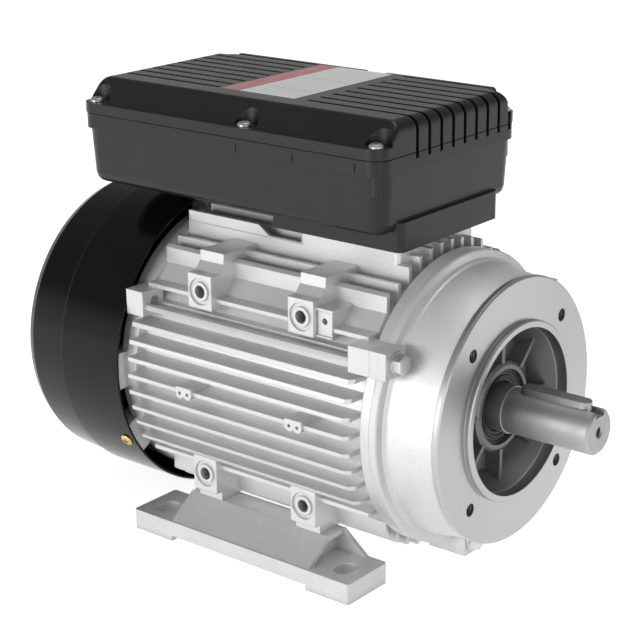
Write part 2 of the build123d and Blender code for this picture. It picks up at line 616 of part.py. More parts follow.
# Windings: coil sides in the slots and bound end turns at both ends of the core
WINDINGS = (("main_winding", 49.4, 53.9, 49.4, 58.5, (0, 1, 2, 3)),
            ("auxiliary_winding", 42.1, 49, 42.3, 49, (4, 5)))
for name, slot_in, slot_out, turn_in, turn_out, places in WINDINGS:
    with BuildPart() as winding:
        with BuildSketch(Plane.YZ.offset(CORE_REAR - 2)):
            for k in range(SLOT_COUNT):
                if k % 6 in places:
                    with Locations(Location((0, 0), 360 * k / SLOT_COUNT)):
                        with Locations(((slot_in + slot_out) / 2, 0)):
                            Rectangle(slot_out - slot_in, 6.8)
        extrude(amount=CORE_FRONT - CORE_REAR + 4)
        for x0, x1 in ((CORE_FRONT + 1, CORE_FRONT + OVERHANG), (CORE_REAR - OVERHANG, CORE_REAR - 1)):
            with BuildSketch(Plane.XY):
                with Locations(((x0 + x1) / 2, (turn_in + turn_out) / 2)):
                    RectangleRounded(x1 - x0, turn_out - turn_in, 3)
            revolve(axis=Axis.X)
    winding.part.label = name
    export_step(winding.part, "parts/" + name + ".step")

# Squirrel cage rotor: laminations and the cast aluminium cage with end rings
ROTOR_R = STATOR_BORE - AIR_GAP
BAR_COUNT = 24
BAR_RING_R = 35.6
with BuildPart() as rotor_core:
    with BuildSketch(Plane.YZ.offset(CORE_REAR)):
        Circle(ROTOR_R)
        Circle(ROTOR_SEAT_R, mode=Mode.SUBTRACT)
        with PolarLocations(BAR_RING_R, BAR_COUNT):
            SlotOverall(7, 3.4, mode=Mode.SUBTRACT)
    extrude(amount=CORE_FRONT - CORE_REAR)
rotor_core.part.label = "rotor_core"
export_step(rotor_core.part, "parts/rotor_core.step")

with BuildPart() as rotor_cage:
    with BuildSketch(Plane.YZ.offset(CORE_REAR)):
        with PolarLocations(BAR_RING_R, BAR_COUNT):
            SlotOverall(7, 3.4)
    extrude(amount=CORE_FRONT - CORE_REAR)
    for x0, x1 in ((CORE_REAR - 9, CORE_REAR), (CORE_FRONT, CORE_FRONT + 9)):
        with BuildSketch(Plane.YZ.offset(x0)):
            Circle(39.4)
            Circle(28, mode=Mode.SUBTRACT)
        extrude(amount=x1 - x0)
rotor_cage.part.label = "rotor_cage"
export_step(rotor_cage.part, "parts/rotor_cage.step")

# Deep groove ball bearings, shielded
for end, x0 in (("front", FRONT_BRG_X), ("rear", REAR_BRG_X)):
    mid = x0 + BRG_WIDTH / 2
    race_r = BALL_R + RUN_GAP
    with BuildPart() as outer_ring:
        with BuildSketch(Plane.XY):
            with Locations((mid, (BRG_OUT + 21.6) / 2)):
                Rectangle(BRG_WIDTH, BRG_OUT - 21.6)
            for x in (x0 + 1.2, x0 + BRG_WIDTH - 1.2):
                with Locations((x, (17.2 + 22) / 2)):
                    Rectangle(0.5, 22 - 17.2)
            with Locations((mid, BRG_PITCH_R)):
                Circle(race_r, mode=Mode.SUBTRACT)
        revolve(axis=Axis.X)
    outer_ring.part.label = end + "_bearing_outer_ring"
    export_step(outer_ring.part, "parts/" + end + "_bearing_outer_ring.step")
    with BuildPart() as inner_ring:
        with BuildSketch(Plane.XY):
            with Locations((mid, (BRG_BORE + 16.7) / 2)):
                Rectangle(BRG_WIDTH, 16.7 - BRG_BORE)
            with Locations((mid, BRG_PITCH_R)):
                Circle(race_r, mode=Mode.SUBTRACT)
        revolve(axis=Axis.X)
    inner_ring.part.label = end + "_bearing_inner_ring"
    export_step(inner_ring.part, "parts/" + end + "_bearing_inner_ring.step")
    with BuildPart() as balls:
        with Locations((mid, 0, 0)):
            with Locations(Location(Plane.YZ)):
                with PolarLocations(BRG_PITCH_R, BALL_COUNT):
                    Sphere(BALL_R)
    balls.part.label = end + "_bearing_balls"
    export_step(balls.part, "parts/" + end + "_bearing_balls.step")
    with BuildPart() as cage:
        with BuildSketch(Plane.YZ.offset(mid - 4.6)):
            Circle(BRG_PITCH_R + 1)
            Circle(BRG_PITCH_R - 1, mode=Mode.SUBTRACT)
        extrude(amount=9.2)
        with Locations((mid, 0, 0)):
            with Locations(Location(Plane.YZ)):
                with PolarLocations(BRG_PITCH_R, BALL_COUNT):
                    Cylinder(BALL_R + RUN_GAP, 6, rotation=(0, 90, 0), mode=Mode.SUBTRACT)
    cage.part.label = end + "_bearing_cage"
    export_step(cage.part, "parts/" + end + "_bearing_cage.step")

# Wave washer that preloads the rear bearing
with BuildPart() as wave_washer:
    with BuildSketch(Plane.YZ.offset(REAR_WALL)):
        Circle(25.6)
        Circle(21, mode=Mode.SUBTRACT)
    extrude(amount=REAR_BRG_X - REAR_WALL)
wave_washer.part.label = "wave_washer"
export_step(wave_washer.part, "parts/wave_washer.step")

# Shaft seal: rubber ring with a lip and a dust lip
with BuildPart() as shaft_seal:
    with BuildSketch(Plane.XY):
        with BuildLine():
            face = SEAL_X0 + SEAL_WIDTH
            Polyline((SEAL_X0, SEAL_SEAT_R), (face, SEAL_SEAT_R), (face, 18.6), (face - 0.7, 18.2),
                     (face - 0.7, 16.8), (face, 16.4), (face, 15.4), (face - 0.6, 14.8),
                     (face - 0.6, BRG_BORE + 1), (face - 1.8, BRG_BORE + RUN_GAP),
                     (face - 2.4, BRG_BORE + 1), (face - 2.8, 16.5), (SEAL_X0, 17.2), close=True)
        make_face()
    revolve(axis=Axis.X)
shaft_seal.part.label = "shaft_seal"
export_step(shaft_seal.part, "parts/shaft_seal.step")

# Radial cooling fan: hub, backplate and straight blades
with BuildPart() as fan:
    with BuildSketch(Plane.XY):
        with BuildLine():
            Polyline((FAN_HUB_REAR, 9), (FAN_HUB_REAR, 15), (-226, 16), (-224, 30), (-221.5, FAN_R),
                     (-219, FAN_R), (-221, 30), (-222, 16), (-222, 9), close=True)
        make_face()
    revolve(axis=Axis.X)
    for k in range(9):
        turn = 2 * math.pi * k / 9
        with BuildSketch(Plane(origin=(0, 0, 0), x_dir=(1, 0, 0),
                               z_dir=(0, math.sin(turn), -math.cos(turn)))):
            with BuildLine():
                Polyline((-223, 14), (FAN_HUB_REAR, 14), (FAN_BACK, 30), (FAN_BACK, FAN_R - 4),
                         (-246, FAN_R), (-220.5, FAN_R), close=True)
            make_face()
        extrude(amount=1.1, both=True)
fan.part.label = "fan"
export_step(fan.part, "parts/fan.step")

with BuildPart() as fan_circlip:
    with BuildSketch(Plane.YZ.offset(-244.4)):
        Circle(12)
        Circle(8.4, mode=Mode.SUBTRACT)
        with Locations((0, 10)):
            Rectangle(5, 6, mode=Mode.SUBTRACT)
    extrude(amount=1.4)
fan_circlip.part.label = "fan_circlip"
export_step(fan_circlip.part, "parts/fan_circlip.step")

# Centrifugal governor: plate on the shaft, sliding collar, two pivoting weights
GOV_PLATE_X = -168.5
PIVOT_X = -179
PIVOT_Z = 26
FINGER_L = 6.5
FINGER_TILT = math.radians(14)
GROOVE_X = PIVOT_X + FINGER_L * math.sin(-FINGER_TILT)
GROOVE_HALF = 1.6
COLLAR_REAR = -187
with BuildPart() as governor_plate:
    with BuildSketch(Plane.YZ.offset(GOV_PLATE_X)):
        Circle(31)
        Circle(ROTOR_SEAT_R, mode=Mode.SUBTRACT)
    extrude(amount=2)
    with BuildSketch(Plane.YZ.offset(GOV_PLATE_X + 2)):
        Circle(19)
        Circle(ROTOR_SEAT_R, mode=Mode.SUBTRACT)
    extrude(amount=2.5)
    for side in (-1, 1):
        ear_mid = (GOV_PLATE_X + PIVOT_X - 2.3) / 2
        with Locations((ear_mid, 8, side * (PIVOT_Z + 0.8)), (ear_mid, -8, side * (PIVOT_Z + 0.8))):
            Box(GOV_PLATE_X - PIVOT_X + 2.3, 2, 5)
        with Locations((PIVOT_X, 0, side * PIVOT_Z)):
            Cylinder(1.2, 18, rotation=(90, 0, 0))
governor_plate.part.label = "governor_plate"
export_step(governor_plate.part, "parts/governor_plate.step")

with BuildPart() as governor_collar:
    with BuildSketch(Plane.XY):
        with BuildLine():
            r0 = ROTOR_SEAT_R + RUN_GAP
            front = GROOVE_X + GROOVE_HALF
            rear = GROOVE_X - GROOVE_HALF
            Polyline((COLLAR_REAR, r0), (COLLAR_REAR, 24.5), (COLLAR_REAR + 2, 24.5),
                     (COLLAR_REAR + 2.4, 19), (rear - 1.4, 19), (rear - 1.4, 21), (rear, 21),
                     (rear, 18.2), (front, 18.2), (front, 21), (front + 1.4, 21), (front + 1.4, r0),
                     close=True)
        make_face()
    revolve(axis=Axis.X)
governor_collar.part.label = "governor_collar"
export_step(governor_collar.part, "parts/governor_collar.step")

for name, side in (("flyweight_upper", 1), ("flyweight_lower", -1)):
    with BuildPart() as weight:
        with BuildSketch(Plane.XZ):
            with BuildLine():
                tip_z = side * (PIVOT_Z - FINGER_L)
                Polyline((PIVOT_X - 2.2, side * (PIVOT_Z + 2.2)), (PIVOT_X - 2.4, side * (PIVOT_Z - 1.4)),
                         (PIVOT_X - 1.5, side * (PIVOT_Z - 2.4)), (GROOVE_X - 0.8, tip_z),
                         (GROOVE_X + 0.8, tip_z), (PIVOT_X + 0.3, side * (PIVOT_Z - 2.4)),
                         (PIVOT_X + 3, side * (PIVOT_Z - 2)), (GOV_PLATE_X - 1.8, side * (PIVOT_Z - 2)),
                         (GOV_PLATE_X - 1.8, side * (PIVOT_Z + 8)), (PIVOT_X + 2, side * (PIVOT_Z + 8)),
                         close=True)
            make_face()
            with Locations((PIVOT_X, side * PIVOT_Z)):
                Circle(1.2 + RUN_GAP, mode=Mode.SUBTRACT)
        extrude(amount=6.5, both=True)
    weight.part.label = name
    export_step(weight.part, "parts/" + name + ".step")

# Starting switch: board on the rear shield, sprung contact arm, fixed contact
BOARD_X = REAR_BRG_X + BRG_WIDTH - 0.5
ARM_PIVOT_Y = -40
ARM_X = COLLAR_REAR - FREE_GAP
with BuildPart() as switch_plate:
    with BuildSketch(Plane.YZ.offset(BOARD_X)):
        Circle(52)
        Circle(27, mode=Mode.SUBTRACT)
        with Locations((40, 0)):
            Rectangle(60, 110, mode=Mode.SUBTRACT)
    extrude(amount=1.6)
    for z in (-7, 7):
        with Locations((ARM_X - 0.6, ARM_PIVOT_Y, z)):
            Box(8, 6, 2)
        with Locations((BOARD_X + 2, -40, z)):
            Box(1.4, 6, 2)
    with Locations((ARM_X - 0.6, ARM_PIVOT_Y, 0)):
        Cylinder(1, 16)
switch_plate.part.label = "switch_plate"
export_step(switch_plate.part, "parts/switch_plate.step")

with BuildPart() as switch_arm:
    with Locations((ARM_X - 0.6, (ARM_PIVOT_Y - 17) / 2 - 0.75, 0)):
        Box(1.2, -17 - ARM_PIVOT_Y - 1.5, 7)
    with Locations((ARM_X - 0.6, ARM_PIVOT_Y, 0)):
        Cylinder(2.2, 10)
        Cylinder(1 + RUN_GAP, 10, mode=Mode.SUBTRACT)
    with Locations((ARM_X - 1.6, -31, 0)):
        Cylinder(2, 1.2, rotation=(0, 90, 0))
switch_arm.part.label = "switch_arm"
export_step(switch_arm.part, "parts/switch_arm.step")

with BuildPart() as switch_contacts:
    contact_x = ARM_X - 2.2 - 0.1
    with Locations(((contact_x + BOARD_X + 1.6) / 2, -31, 0)):
        Cylinder(2.4, contact_x - BOARD_X - 1.6, rotation=(0, 90, 0))
    for z in (-16, 16):
        with Locations((BOARD_X + 3.1, -38, z)):
            Box(3, 8, 5)
switch_contacts.part.label = "switch_contacts"
export_step(switch_contacts.part, "parts/switch_contacts.step")

# Gasket between tower and capacitor box
with BuildPart() as box_gasket:
    with BuildSketch(Plane.XY.offset(TOWER_TOP)):
        with Locations(((TOWER_FRONT + TOWER_REAR) / 2, 0)):
            RectangleRounded(TOWER_FRONT - TOWER_REAR, 2 * TOWER_HALF, 3)
            RectangleRounded(TOWER_FRONT - TOWER_REAR - 2 * TOWER_WALL, 2 * (TOWER_HALF - TOWER_WALL), 2,
                             mode=Mode.SUBTRACT)
            with GridLocations(TOWER_FRONT - TOWER_REAR - 2 * TOWER_SCREW_X, 2 * TOWER_SCREW_Y, 2, 2):
                Circle(5)
                Circle(2.2, mode=Mode.SUBTRACT)
    extrude(amount=GASKET_T)
box_gasket.part.label = "box_gasket"
export_step(box_gasket.part, "parts/box_gasket.step")

# Capacitor box base: moulded plastic, drafted walls, collar below, lip at the joint
BOX_MID_X = (BOX_X0 + BOX_X1) / 2
BOX_LENGTH = BOX_X1 - BOX_X0
COLLAR_MID_X = (COLLAR_X0 + COLLAR_X1) / 2
# height above the bottom and how far the outline stands in there
BODY_STAGES = ((0, 4), (1, 2), (2.5, 0.8), (5, 0), (BOX_LIP_Z - BOX_BOTTOM, -1.5))
POST_DEEP = 18.5
SLOT_ROWS = [SLOT_Y0 + SLOT_PITCH * (k - 4) for k in range(9)]
with BuildPart() as capacitor_box_base:
    for (low, inset), (high, after) in zip(BODY_STAGES, BODY_STAGES[1:]):
        with BuildSketch(Plane.XY.offset(BOX_BOTTOM + low)):
            with Locations((BOX_MID_X, 0)):
                RectangleRounded(BOX_LENGTH - 3 - 2 * inset, 2 * (BOX_HALF - inset), CORNER_R - inset)
        extrude(amount=high - low, taper=math.degrees(math.atan((after - inset) / (high - low))))
    with BuildSketch(Plane.XY.offset(BOX_LIP_Z)):
        with Locations((BOX_MID_X, 0)):
            RectangleRounded(BOX_LENGTH + 1.4, 2 * BOX_LIP_HALF, CORNER_R)
    extrude(amount=PARTING_Z - BOX_LIP_Z - JOINT_GROOVE)
    with BuildSketch(Plane.XY.offset(PARTING_Z - JOINT_GROOVE)):
        with Locations((BOX_MID_X, 0)):
            RectangleRounded(BOX_LENGTH + 1.4 - 2 * JOINT_GROOVE, 2 * (BOX_LIP_HALF - JOINT_GROOVE),
                             CORNER_R - JOINT_GROOVE)
    extrude(amount=JOINT_GROOVE)
    with BuildSketch(Plane.XY.offset(COLLAR_Z)):
        with Locations((COLLAR_MID_X, 0)):
            RectangleRounded(COLLAR_X1 - COLLAR_X0, 2 * COLLAR_HALF, 4)
    extrude(amount=BOX_BOTTOM + 5 - COLLAR_Z)
    # hollow inside, down into the collar
    with BuildSketch(Plane.XY.offset(BOX_BOTTOM + BOX_WALL)):
        with Locations((BOX_MID_X, 0)):
            RectangleRounded(BOX_LENGTH - 9, 2 * (BOX_HALF - 3.5), 4)
    extrude(amount=PARTING_Z - BOX_BOTTOM, mode=Mode.SUBTRACT)
    with BuildSketch(Plane.XY.offset(COLLAR_Z + BOX_WALL)):
        with Locations((COLLAR_MID_X, 0)):
            RectangleRounded(COLLAR_X1 - COLLAR_X0 - 8, 2 * COLLAR_HALF - 8, 3)
    extrude(amount=20, mode=Mode.SUBTRACT)
    # posts for the lid screws
    for x in LID_SCREW_X:
        for side in (-1, 1):
            with Locations((x, side * LID_SCREW_Y, PARTING_Z - POST_DEEP / 2)):
                Cylinder(3, POST_DEEP)
    with Locations(*((x, s * LID_SCREW_Y, PARTING_Z) for x in LID_SCREW_X for s in (-1, 1))):
        Cylinder(1.8, 26, mode=Mode.SUBTRACT)
    # groove for the lid gasket
    with BuildSketch(Plane.XY.offset(PARTING_Z)):
        with Locations((BOX_MID_X, 0)):
            RectangleRounded(BOX_LENGTH + 1.4 - 4.4, 2 * BOX_LIP_HALF - 4.4, 4)
            RectangleRounded(BOX_LENGTH + 1.4 - 6.4, 2 * BOX_LIP_HALF - 6.4, 3, mode=Mode.SUBTRACT)
    extrude(amount=-1, mode=Mode.SUBTRACT)
    # wire way and fixing holes in the collar floor, gland hole in the far wall
    with Locations((-94, 0, COLLAR_Z)):
        Box(26, 44, 20, mode=Mode.SUBTRACT)
    with Locations(((TOWER_FRONT + TOWER_REAR) / 2, 0, COLLAR_Z)):
        with GridLocations(TOWER_FRONT - TOWER_REAR - 2 * TOWER_SCREW_X, 2 * TOWER_SCREW_Y, 2, 2):
            Cylinder(2.2, 12, mode=Mode.SUBTRACT)
    with Locations((GLAND_X, (GLAND_FACE + GLAND_BACK) / 2, GLAND_Z)):
        Cylinder(14.2, GLAND_FACE - GLAND_BACK, rotation=(90, 0, 0))
        Cylinder(GLAND_R, 20, rotation=(90, 0, 0), mode=Mode.SUBTRACT)
    # cooling slots run down over the joint into the lip
    with Locations(*((x, y, (SLOT_FOOT_Z + PARTING_Z) / 2 + 0.5) for y in SLOT_ROWS
                     for x in (BOX_X0 + 0.2, BOX_X1 - 0.2))):
        Box(2, SLOT_WIDTH, PARTING_Z - SLOT_FOOT_Z + 1, mode=Mode.SUBTRACT)
capacitor_box_base.part.label = "capacitor_box_base"
export_step(capacitor_box_base.part, "parts/capacitor_box_base.step")

with BuildPart() as lid_gasket:
    with BuildSketch(Plane.XY.offset(PARTING_Z - 1)):
        with Locations((BOX_MID_X, 0)):
            RectangleRounded(BOX_LENGTH + 1.4 - 4.4, 2 * BOX_LIP_HALF - 4.4, 4)
            RectangleRounded(BOX_LENGTH + 1.4 - 6.4, 2 * BOX_LIP_HALF - 6.4, 3, mode=Mode.SUBTRACT)
    extrude(amount=1)
lid_gasket.part.label = "lid_gasket"
export_step(lid_gasket.part, "parts/lid_gasket.step")

# Lid: sloping near flank, steep far flank, slots over both ends, six screw notches
LID_X0 = BOX_X0 - 0.6
LID_X1 = BOX_X1 + 0.6
with BuildPart() as capacitor_box_lid:
    with BuildSketch(Plane.YZ.offset(LID_X0)):
        with BuildLine():
            Polyline((-LID_HALF + 6.5, PARTING_Z), (-LID_HALF + 6.5, LEDGE_Z), (LID_NEAR_TOP, LID_TOP),
                     (LID_FAR_TOP, LID_TOP), (LID_HALF - 1.6, LEDGE_Z), (LID_HALF - 1.6, PARTING_Z),
                     close=True)
        make_face()
    extrude(amount=LID_X1 - LID_X0)
    top_ends = capacitor_box_lid.faces().sort_by(Axis.Z)[-1].edges()
    fillet(top_ends.filter_by(Axis.Y), 6.5)
    long_tops = capacitor_box_lid.edges().filter_by(Axis.X).sort_by(Axis.Z)[-2:]
    fillet(long_tops, 3)
    with BuildSketch(Plane.XY.offset(PARTING_Z)):
        with Locations(((LID_X0 + LID_X1) / 2, 0)):
            RectangleRounded(LID_X1 - LID_X0, 2 * LID_HALF, CORNER_R)
    extrude(amount=LEDGE_Z - PARTING_Z)
    # trim the block's square corners to the rounded plan
    with BuildSketch(Plane.XY.offset(PARTING_Z)):
        with Locations(((LID_X0 + LID_X1) / 2, 0)):
            RectangleRounded(LID_X1 - LID_X0, 2 * LID_HALF, CORNER_R)
    extrude(amount=30, mode=Mode.INTERSECT)
    # scalloped notches over the screws
    for x in LID_SCREW_X:
        for side in (-1, 1):
            with Locations((x, side * NOTCH_Y, LEDGE_Z + 10)):
                Cylinder(NOTCH_R, 20, mode=Mode.SUBTRACT)
    # hollow inside
    with BuildSketch(Plane.YZ.offset(LID_X0 + 5)):
        with BuildLine():
            back = NOTCH_Y - NOTCH_R - 2.5
            Polyline((-back, PARTING_Z - 1), (-back, LEDGE_Z - 2), (LID_NEAR_TOP + 3.5, LID_TOP - 4),
                     (back, LID_TOP - 4), (back, PARTING_Z - 1), close=True)
        make_face()
    extrude(amount=LID_X1 - LID_X0 - 10, mode=Mode.SUBTRACT)
    with Locations(*((x, s * LID_SCREW_Y, LEDGE_Z) for x in LID_SCREW_X for s in (-1, 1))):
        Cylinder(2.1, 20, mode=Mode.SUBTRACT)
    # cooling slots
    for x0, x1 in ((LID_X0 - 1, SLOT_REAR_END), (SLOT_FRONT_END, LID_X1 + 1)):
        with Locations(*(((x0 + x1) / 2, y, LID_TOP + 2 - SLOT_DEPTH) for y in SLOT_ROWS)):
            Box(x1 - x0, SLOT_WIDTH, 4, mode=Mode.SUBTRACT)
    lid_ends = ((LID_X0, -1), (LID_X1, 1))
    with Locations(*((x + way * (2 - SLOT_DEPTH), y, (PARTING_Z + LID_TOP) / 2)
                     for y in SLOT_ROWS for x, way in lid_ends)):
        Box(4, SLOT_WIDTH, LID_TOP - PARTING_Z + 2, mode=Mode.SUBTRACT)
    with Locations(*((x - way * 2.05, y, LID_TOP - 2.05) for y in SLOT_ROWS for x, way in lid_ends)):
        Box(4.6, SLOT_WIDTH, 4.6, rotation=(0, 45, 0), mode=Mode.SUBTRACT)
    # recess for the label
    with Locations(((LABEL_X0 + LABEL_X1) / 2, (LABEL_Y0 + LABEL_Y1) / 2, LID_TOP)):
        Box(LABEL_X1 - LABEL_X0, LABEL_Y1 - LABEL_Y0, 2 * LABEL_T, mode=Mode.SUBTRACT)
capacitor_box_lid.part.label = "capacitor_box_lid"
export_step(capacitor_box_lid.part, "parts/capacitor_box_lid.step")

with BuildPart() as rating_label:
    with Locations(((LABEL_X0 + LABEL_X1) / 2, (LABEL_Y0 + LABEL_Y1) / 2, LID_TOP - LABEL_T / 2)):
        Box(LABEL_X1 - LABEL_X0, LABEL_Y1 - LABEL_Y0, LABEL_T)
rating_label.part.label = "rating_label"
export_step(rating_label.part, "parts/rating_label.step")

# Pan head screws: six in the lid, four from the box into the tower
lid_places = [(x, s * LID_SCREW_Y) for x in LID_SCREW_X for s in (-1, 1)]
tower_x = (TOWER_FRONT - TOWER_SCREW_X, TOWER_REAR + TOWER_SCREW_X)
tower_places = [(x, s * TOWER_SCREW_Y) for x in tower_x for s in (-1, 1)]
screw_sets = (("lid_screws", lid_places, LEDGE_Z, 1.8, 3.9, 16),
              ("box_screws", tower_places, COLLAR_Z + BOX_WALL, 2, 4.4, 13))
for name, places, seat_z, stem_r, head_r, length in screw_sets:
    with BuildPart() as screws:
        with BuildSketch(Plane.XY.offset(seat_z)):
            with Locations(*places):
                Circle(head_r)
        extrude(amount=2.4, taper=16)
        with BuildSketch(Plane.XY.offset(seat_z)):
            with Locations(*places):
                Circle(stem_r)
        extrude(amount=-length)
        with BuildSketch(Plane.XY.offset(seat_z + 2.4)):
            with Locations(*places):
                Rectangle(4.6, 1)
                Rectangle(1, 4.6)
        extrude(amount=-1.4, mode=Mode.SUBTRACT)
    screws.part.label = name
    export_step(screws.part, "parts/" + name + ".step")

# Capacitors, lying side by side in the rear of the box, and their straps
FLOOR_Z = BOX_BOTTOM + BOX_WALL
CAPS = (("start_capacitor", -232, -138, -25.5, 22), ("run_capacitor", -226, -144, 26, 19.5))
for name, x0, x1, y, radius in CAPS:
    with BuildPart() as can:
        with BuildSketch(Plane.YZ.offset(x0)):
            with Locations((y, FLOOR_Z + radius)):
                Circle(radius)
        extrude(amount=x1 - x0)
        fillet(can.edges().filter_by(GeomType.CIRCLE).group_by(Axis.X)[0], 2)
        with Locations((x1 + 3.5, y + 7, FLOOR_Z + radius), (x1 + 3.5, y - 7, FLOOR_Z + radius)):
            Box(7, 0.8, 6.3)
    can.part.label = name
    export_step(can.part, "parts/" + name + ".step")

with BuildPart() as capacitor_straps:
    for x in (-214, -160):
        for name, x0, x1, y, radius in CAPS:
            with BuildSketch(Plane.YZ.offset(x - 5)):
                with Locations((y, FLOOR_Z + radius)):
                    Circle(radius + 1)
                    Circle(radius, mode=Mode.SUBTRACT)
                with Locations((y, FLOOR_Z + radius / 2)):
                    Rectangle(2 * radius + 4, radius, mode=Mode.SUBTRACT)
                with Locations((y - radius - 0.5, FLOOR_Z + radius / 2),
                               (y + radius + 0.5, FLOOR_Z + radius / 2)):
                    Rectangle(1, radius)
                with Locations((y, FLOOR_Z + 0.5)):
                    Rectangle(2 * radius + 2, 1)
                    Circle(radius, mode=Mode.SUBTRACT)
            extrude(amount=10)
capacitor_straps.part.label = "capacitor_straps"
export_step(capacitor_straps.part, "parts/capacitor_straps.step")

# Terminal board with six studs, nuts and two links
BOARD_Z = COLLAR_Z + BOX_WALL
STUDS = [(x, y) for x in (-71, -57) for y in (-14, 0, 14)]
with BuildPart() as terminal_block:
    with Locations((-64, 0, BOARD_Z + 4)):
        Box(27, 42, 8)
    with BuildSketch(Plane.XY.offset(BOARD_Z + 8)):
        with Locations((-64, -7), (-64, 7)):
            Rectangle(27, 1.6)
    extrude(amount=5)
    with Locations(*((x, y, BOARD_Z + 8) for x, y in STUDS)):
        Cylinder(2, 10, mode=Mode.SUBTRACT)
terminal_block.part.label = "terminal_block"
export_step(terminal_block.part, "parts/terminal_block.step")

with BuildPart() as terminal_studs:
    with Locations(*((x, y, BOARD_Z + 11.5) for x, y in STUDS)):
        Cylinder(2, 17)
terminal_studs.part.label = "terminal_studs"
export_step(terminal_studs.part, "parts/terminal_studs.step")

with BuildPart() as terminal_links:
    for y in (-14, 14):
        with BuildSketch(Plane.XY.offset(BOARD_Z + 8)):
            with Locations((-64, y)):
                SlotOverall(22, 7.6)
            with Locations((-71, y), (-57, y)):
                Circle(2, mode=Mode.SUBTRACT)
        extrude(amount=1)
terminal_links.part.label = "terminal_links"
export_step(terminal_links.part, "parts/terminal_links.step")

with BuildPart() as terminal_nuts:
    for x, y in STUDS:
        with BuildSketch(Plane.XY.offset(BOARD_Z + (8 if y == 0 else 9))):
            with Locations((x, y)):
                RegularPolygon(4, 6)
                Circle(2, mode=Mode.SUBTRACT)
        extrude(amount=3.2)
terminal_nuts.part.label = "terminal_nuts"
export_step(terminal_nuts.part, "parts/terminal_nuts.step")

# Lead wires from the end turns up through the tower to the studs
with BuildPart() as lead_wires:
    for k in range(3):
        y = 14 * (k - 1)
        with BuildLine() as run:
            Spline((WIRE_WAY_X, 0.6 * y, 59.6), (WIRE_WAY_X - 0.6, 0.6 * y, 68), (-67, 0.6 * y, 78),
                   (-90, 0.7 * y, 85), (-93, 0.8 * y, 97), (-84, 0.9 * y, 104), (-74.3, y, BOARD_Z + 14))
        with BuildSketch(Plane(origin=run.line @ 0, z_dir=run.line % 0)):
            Circle(1.3)
        sweep(path=run.line)
lead_wires.part.label = "lead_wires"
export_step(lead_wires.part, "parts/lead_wires.step")

# Cable gland in the far wall, closed by its blank seal
with BuildPart() as cable_gland:
    with BuildSketch(Plane.XZ.offset(-GLAND_FACE)):
        with Locations((GLAND_X, GLAND_Z)):
            RegularPolygon(13, 6)
            Circle(7, mode=Mode.SUBTRACT)
    extrude(amount=-5.4)
    with BuildSketch(Plane.XZ.offset(-(GLAND_FACE - 12))):
        with Locations((GLAND_X, GLAND_Z)):
            Circle(GLAND_R - 0.2)
            Circle(7, mode=Mode.SUBTRACT)
    extrude(amount=-24)
cable_gland.part.label = "cable_gland"
export_step(cable_gland.part, "parts/cable_gland.step")

with BuildPart() as gland_locknut:
    with BuildSketch(Plane.XZ.offset(-GLAND_BACK)):
        with Locations((GLAND_X, GLAND_Z)):
            RegularPolygon(13, 6)
            Circle(GLAND_R - 0.2, mode=Mode.SUBTRACT)
    extrude(amount=4)
gland_locknut.part.label = "gland_locknut"
export_step(gland_locknut.part, "parts/gland_locknut.step")

with BuildPart() as gland_cap:
    with BuildSketch(Plane.XZ.offset(-(GLAND_FACE + 5.4))):
        with Locations((GLAND_X, GLAND_Z)):
            RegularPolygon(13, 6)
    extrude(amount=-8)
    with BuildSketch(Plane.XZ.offset(-(GLAND_FACE + 13.4))):
        with Locations((GLAND_X, GLAND_Z)):
            Circle(11)
    extrude(amount=-4, taper=22)
    with Locations((GLAND_X, GLAND_FACE + 11.4, GLAND_Z)):
        Cylinder(GLAND_R - 0.2, 12.4, rotation=(90, 0, 0), mode=Mode.SUBTRACT,
                 align=(Align.CENTER, Align.CENTER, Align.CENTER))
        Cylinder(6, 40, rotation=(90, 0, 0), mode=Mode.SUBTRACT)
gland_cap.part.label = "gland_cap"
export_step(gland_cap.part, "parts/gland_cap.step")

with BuildPart() as gland_plug:
    with BuildSketch(Plane.XZ.offset(-(GLAND_FACE - 2))):
        with Locations((GLAND_X, GLAND_Z)):
            Circle(7)
    extrude(amount=-14)
    with BuildSketch(Plane.XZ.offset(-(GLAND_FACE + 12))):
        with Locations((GLAND_X, GLAND_Z)):
            Circle(6)
    extrude(amount=-5)
gland_plug.part.label = "gland_plug"
export_step(gland_plug.part, "parts/gland_plug.step")
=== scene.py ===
import bmesh
import bpy
import math
from mathutils import Matrix, Vector


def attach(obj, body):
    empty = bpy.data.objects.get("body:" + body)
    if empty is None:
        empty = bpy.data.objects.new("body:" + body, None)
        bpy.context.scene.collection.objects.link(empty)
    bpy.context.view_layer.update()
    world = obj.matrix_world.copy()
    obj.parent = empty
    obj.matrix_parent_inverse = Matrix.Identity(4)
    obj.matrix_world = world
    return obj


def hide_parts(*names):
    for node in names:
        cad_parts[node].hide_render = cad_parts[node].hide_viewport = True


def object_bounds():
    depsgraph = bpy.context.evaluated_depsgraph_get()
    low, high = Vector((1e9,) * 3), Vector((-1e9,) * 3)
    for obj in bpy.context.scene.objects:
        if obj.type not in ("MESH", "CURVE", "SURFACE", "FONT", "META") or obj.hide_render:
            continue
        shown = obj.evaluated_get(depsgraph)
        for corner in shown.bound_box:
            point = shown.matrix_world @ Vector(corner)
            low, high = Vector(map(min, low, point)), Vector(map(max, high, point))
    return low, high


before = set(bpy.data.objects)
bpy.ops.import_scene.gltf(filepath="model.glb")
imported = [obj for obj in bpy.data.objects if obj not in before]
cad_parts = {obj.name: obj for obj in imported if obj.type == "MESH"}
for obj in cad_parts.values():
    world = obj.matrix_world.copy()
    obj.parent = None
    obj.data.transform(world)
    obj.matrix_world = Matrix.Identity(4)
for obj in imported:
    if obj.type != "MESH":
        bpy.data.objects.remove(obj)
cad_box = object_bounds()
MM = 0.001


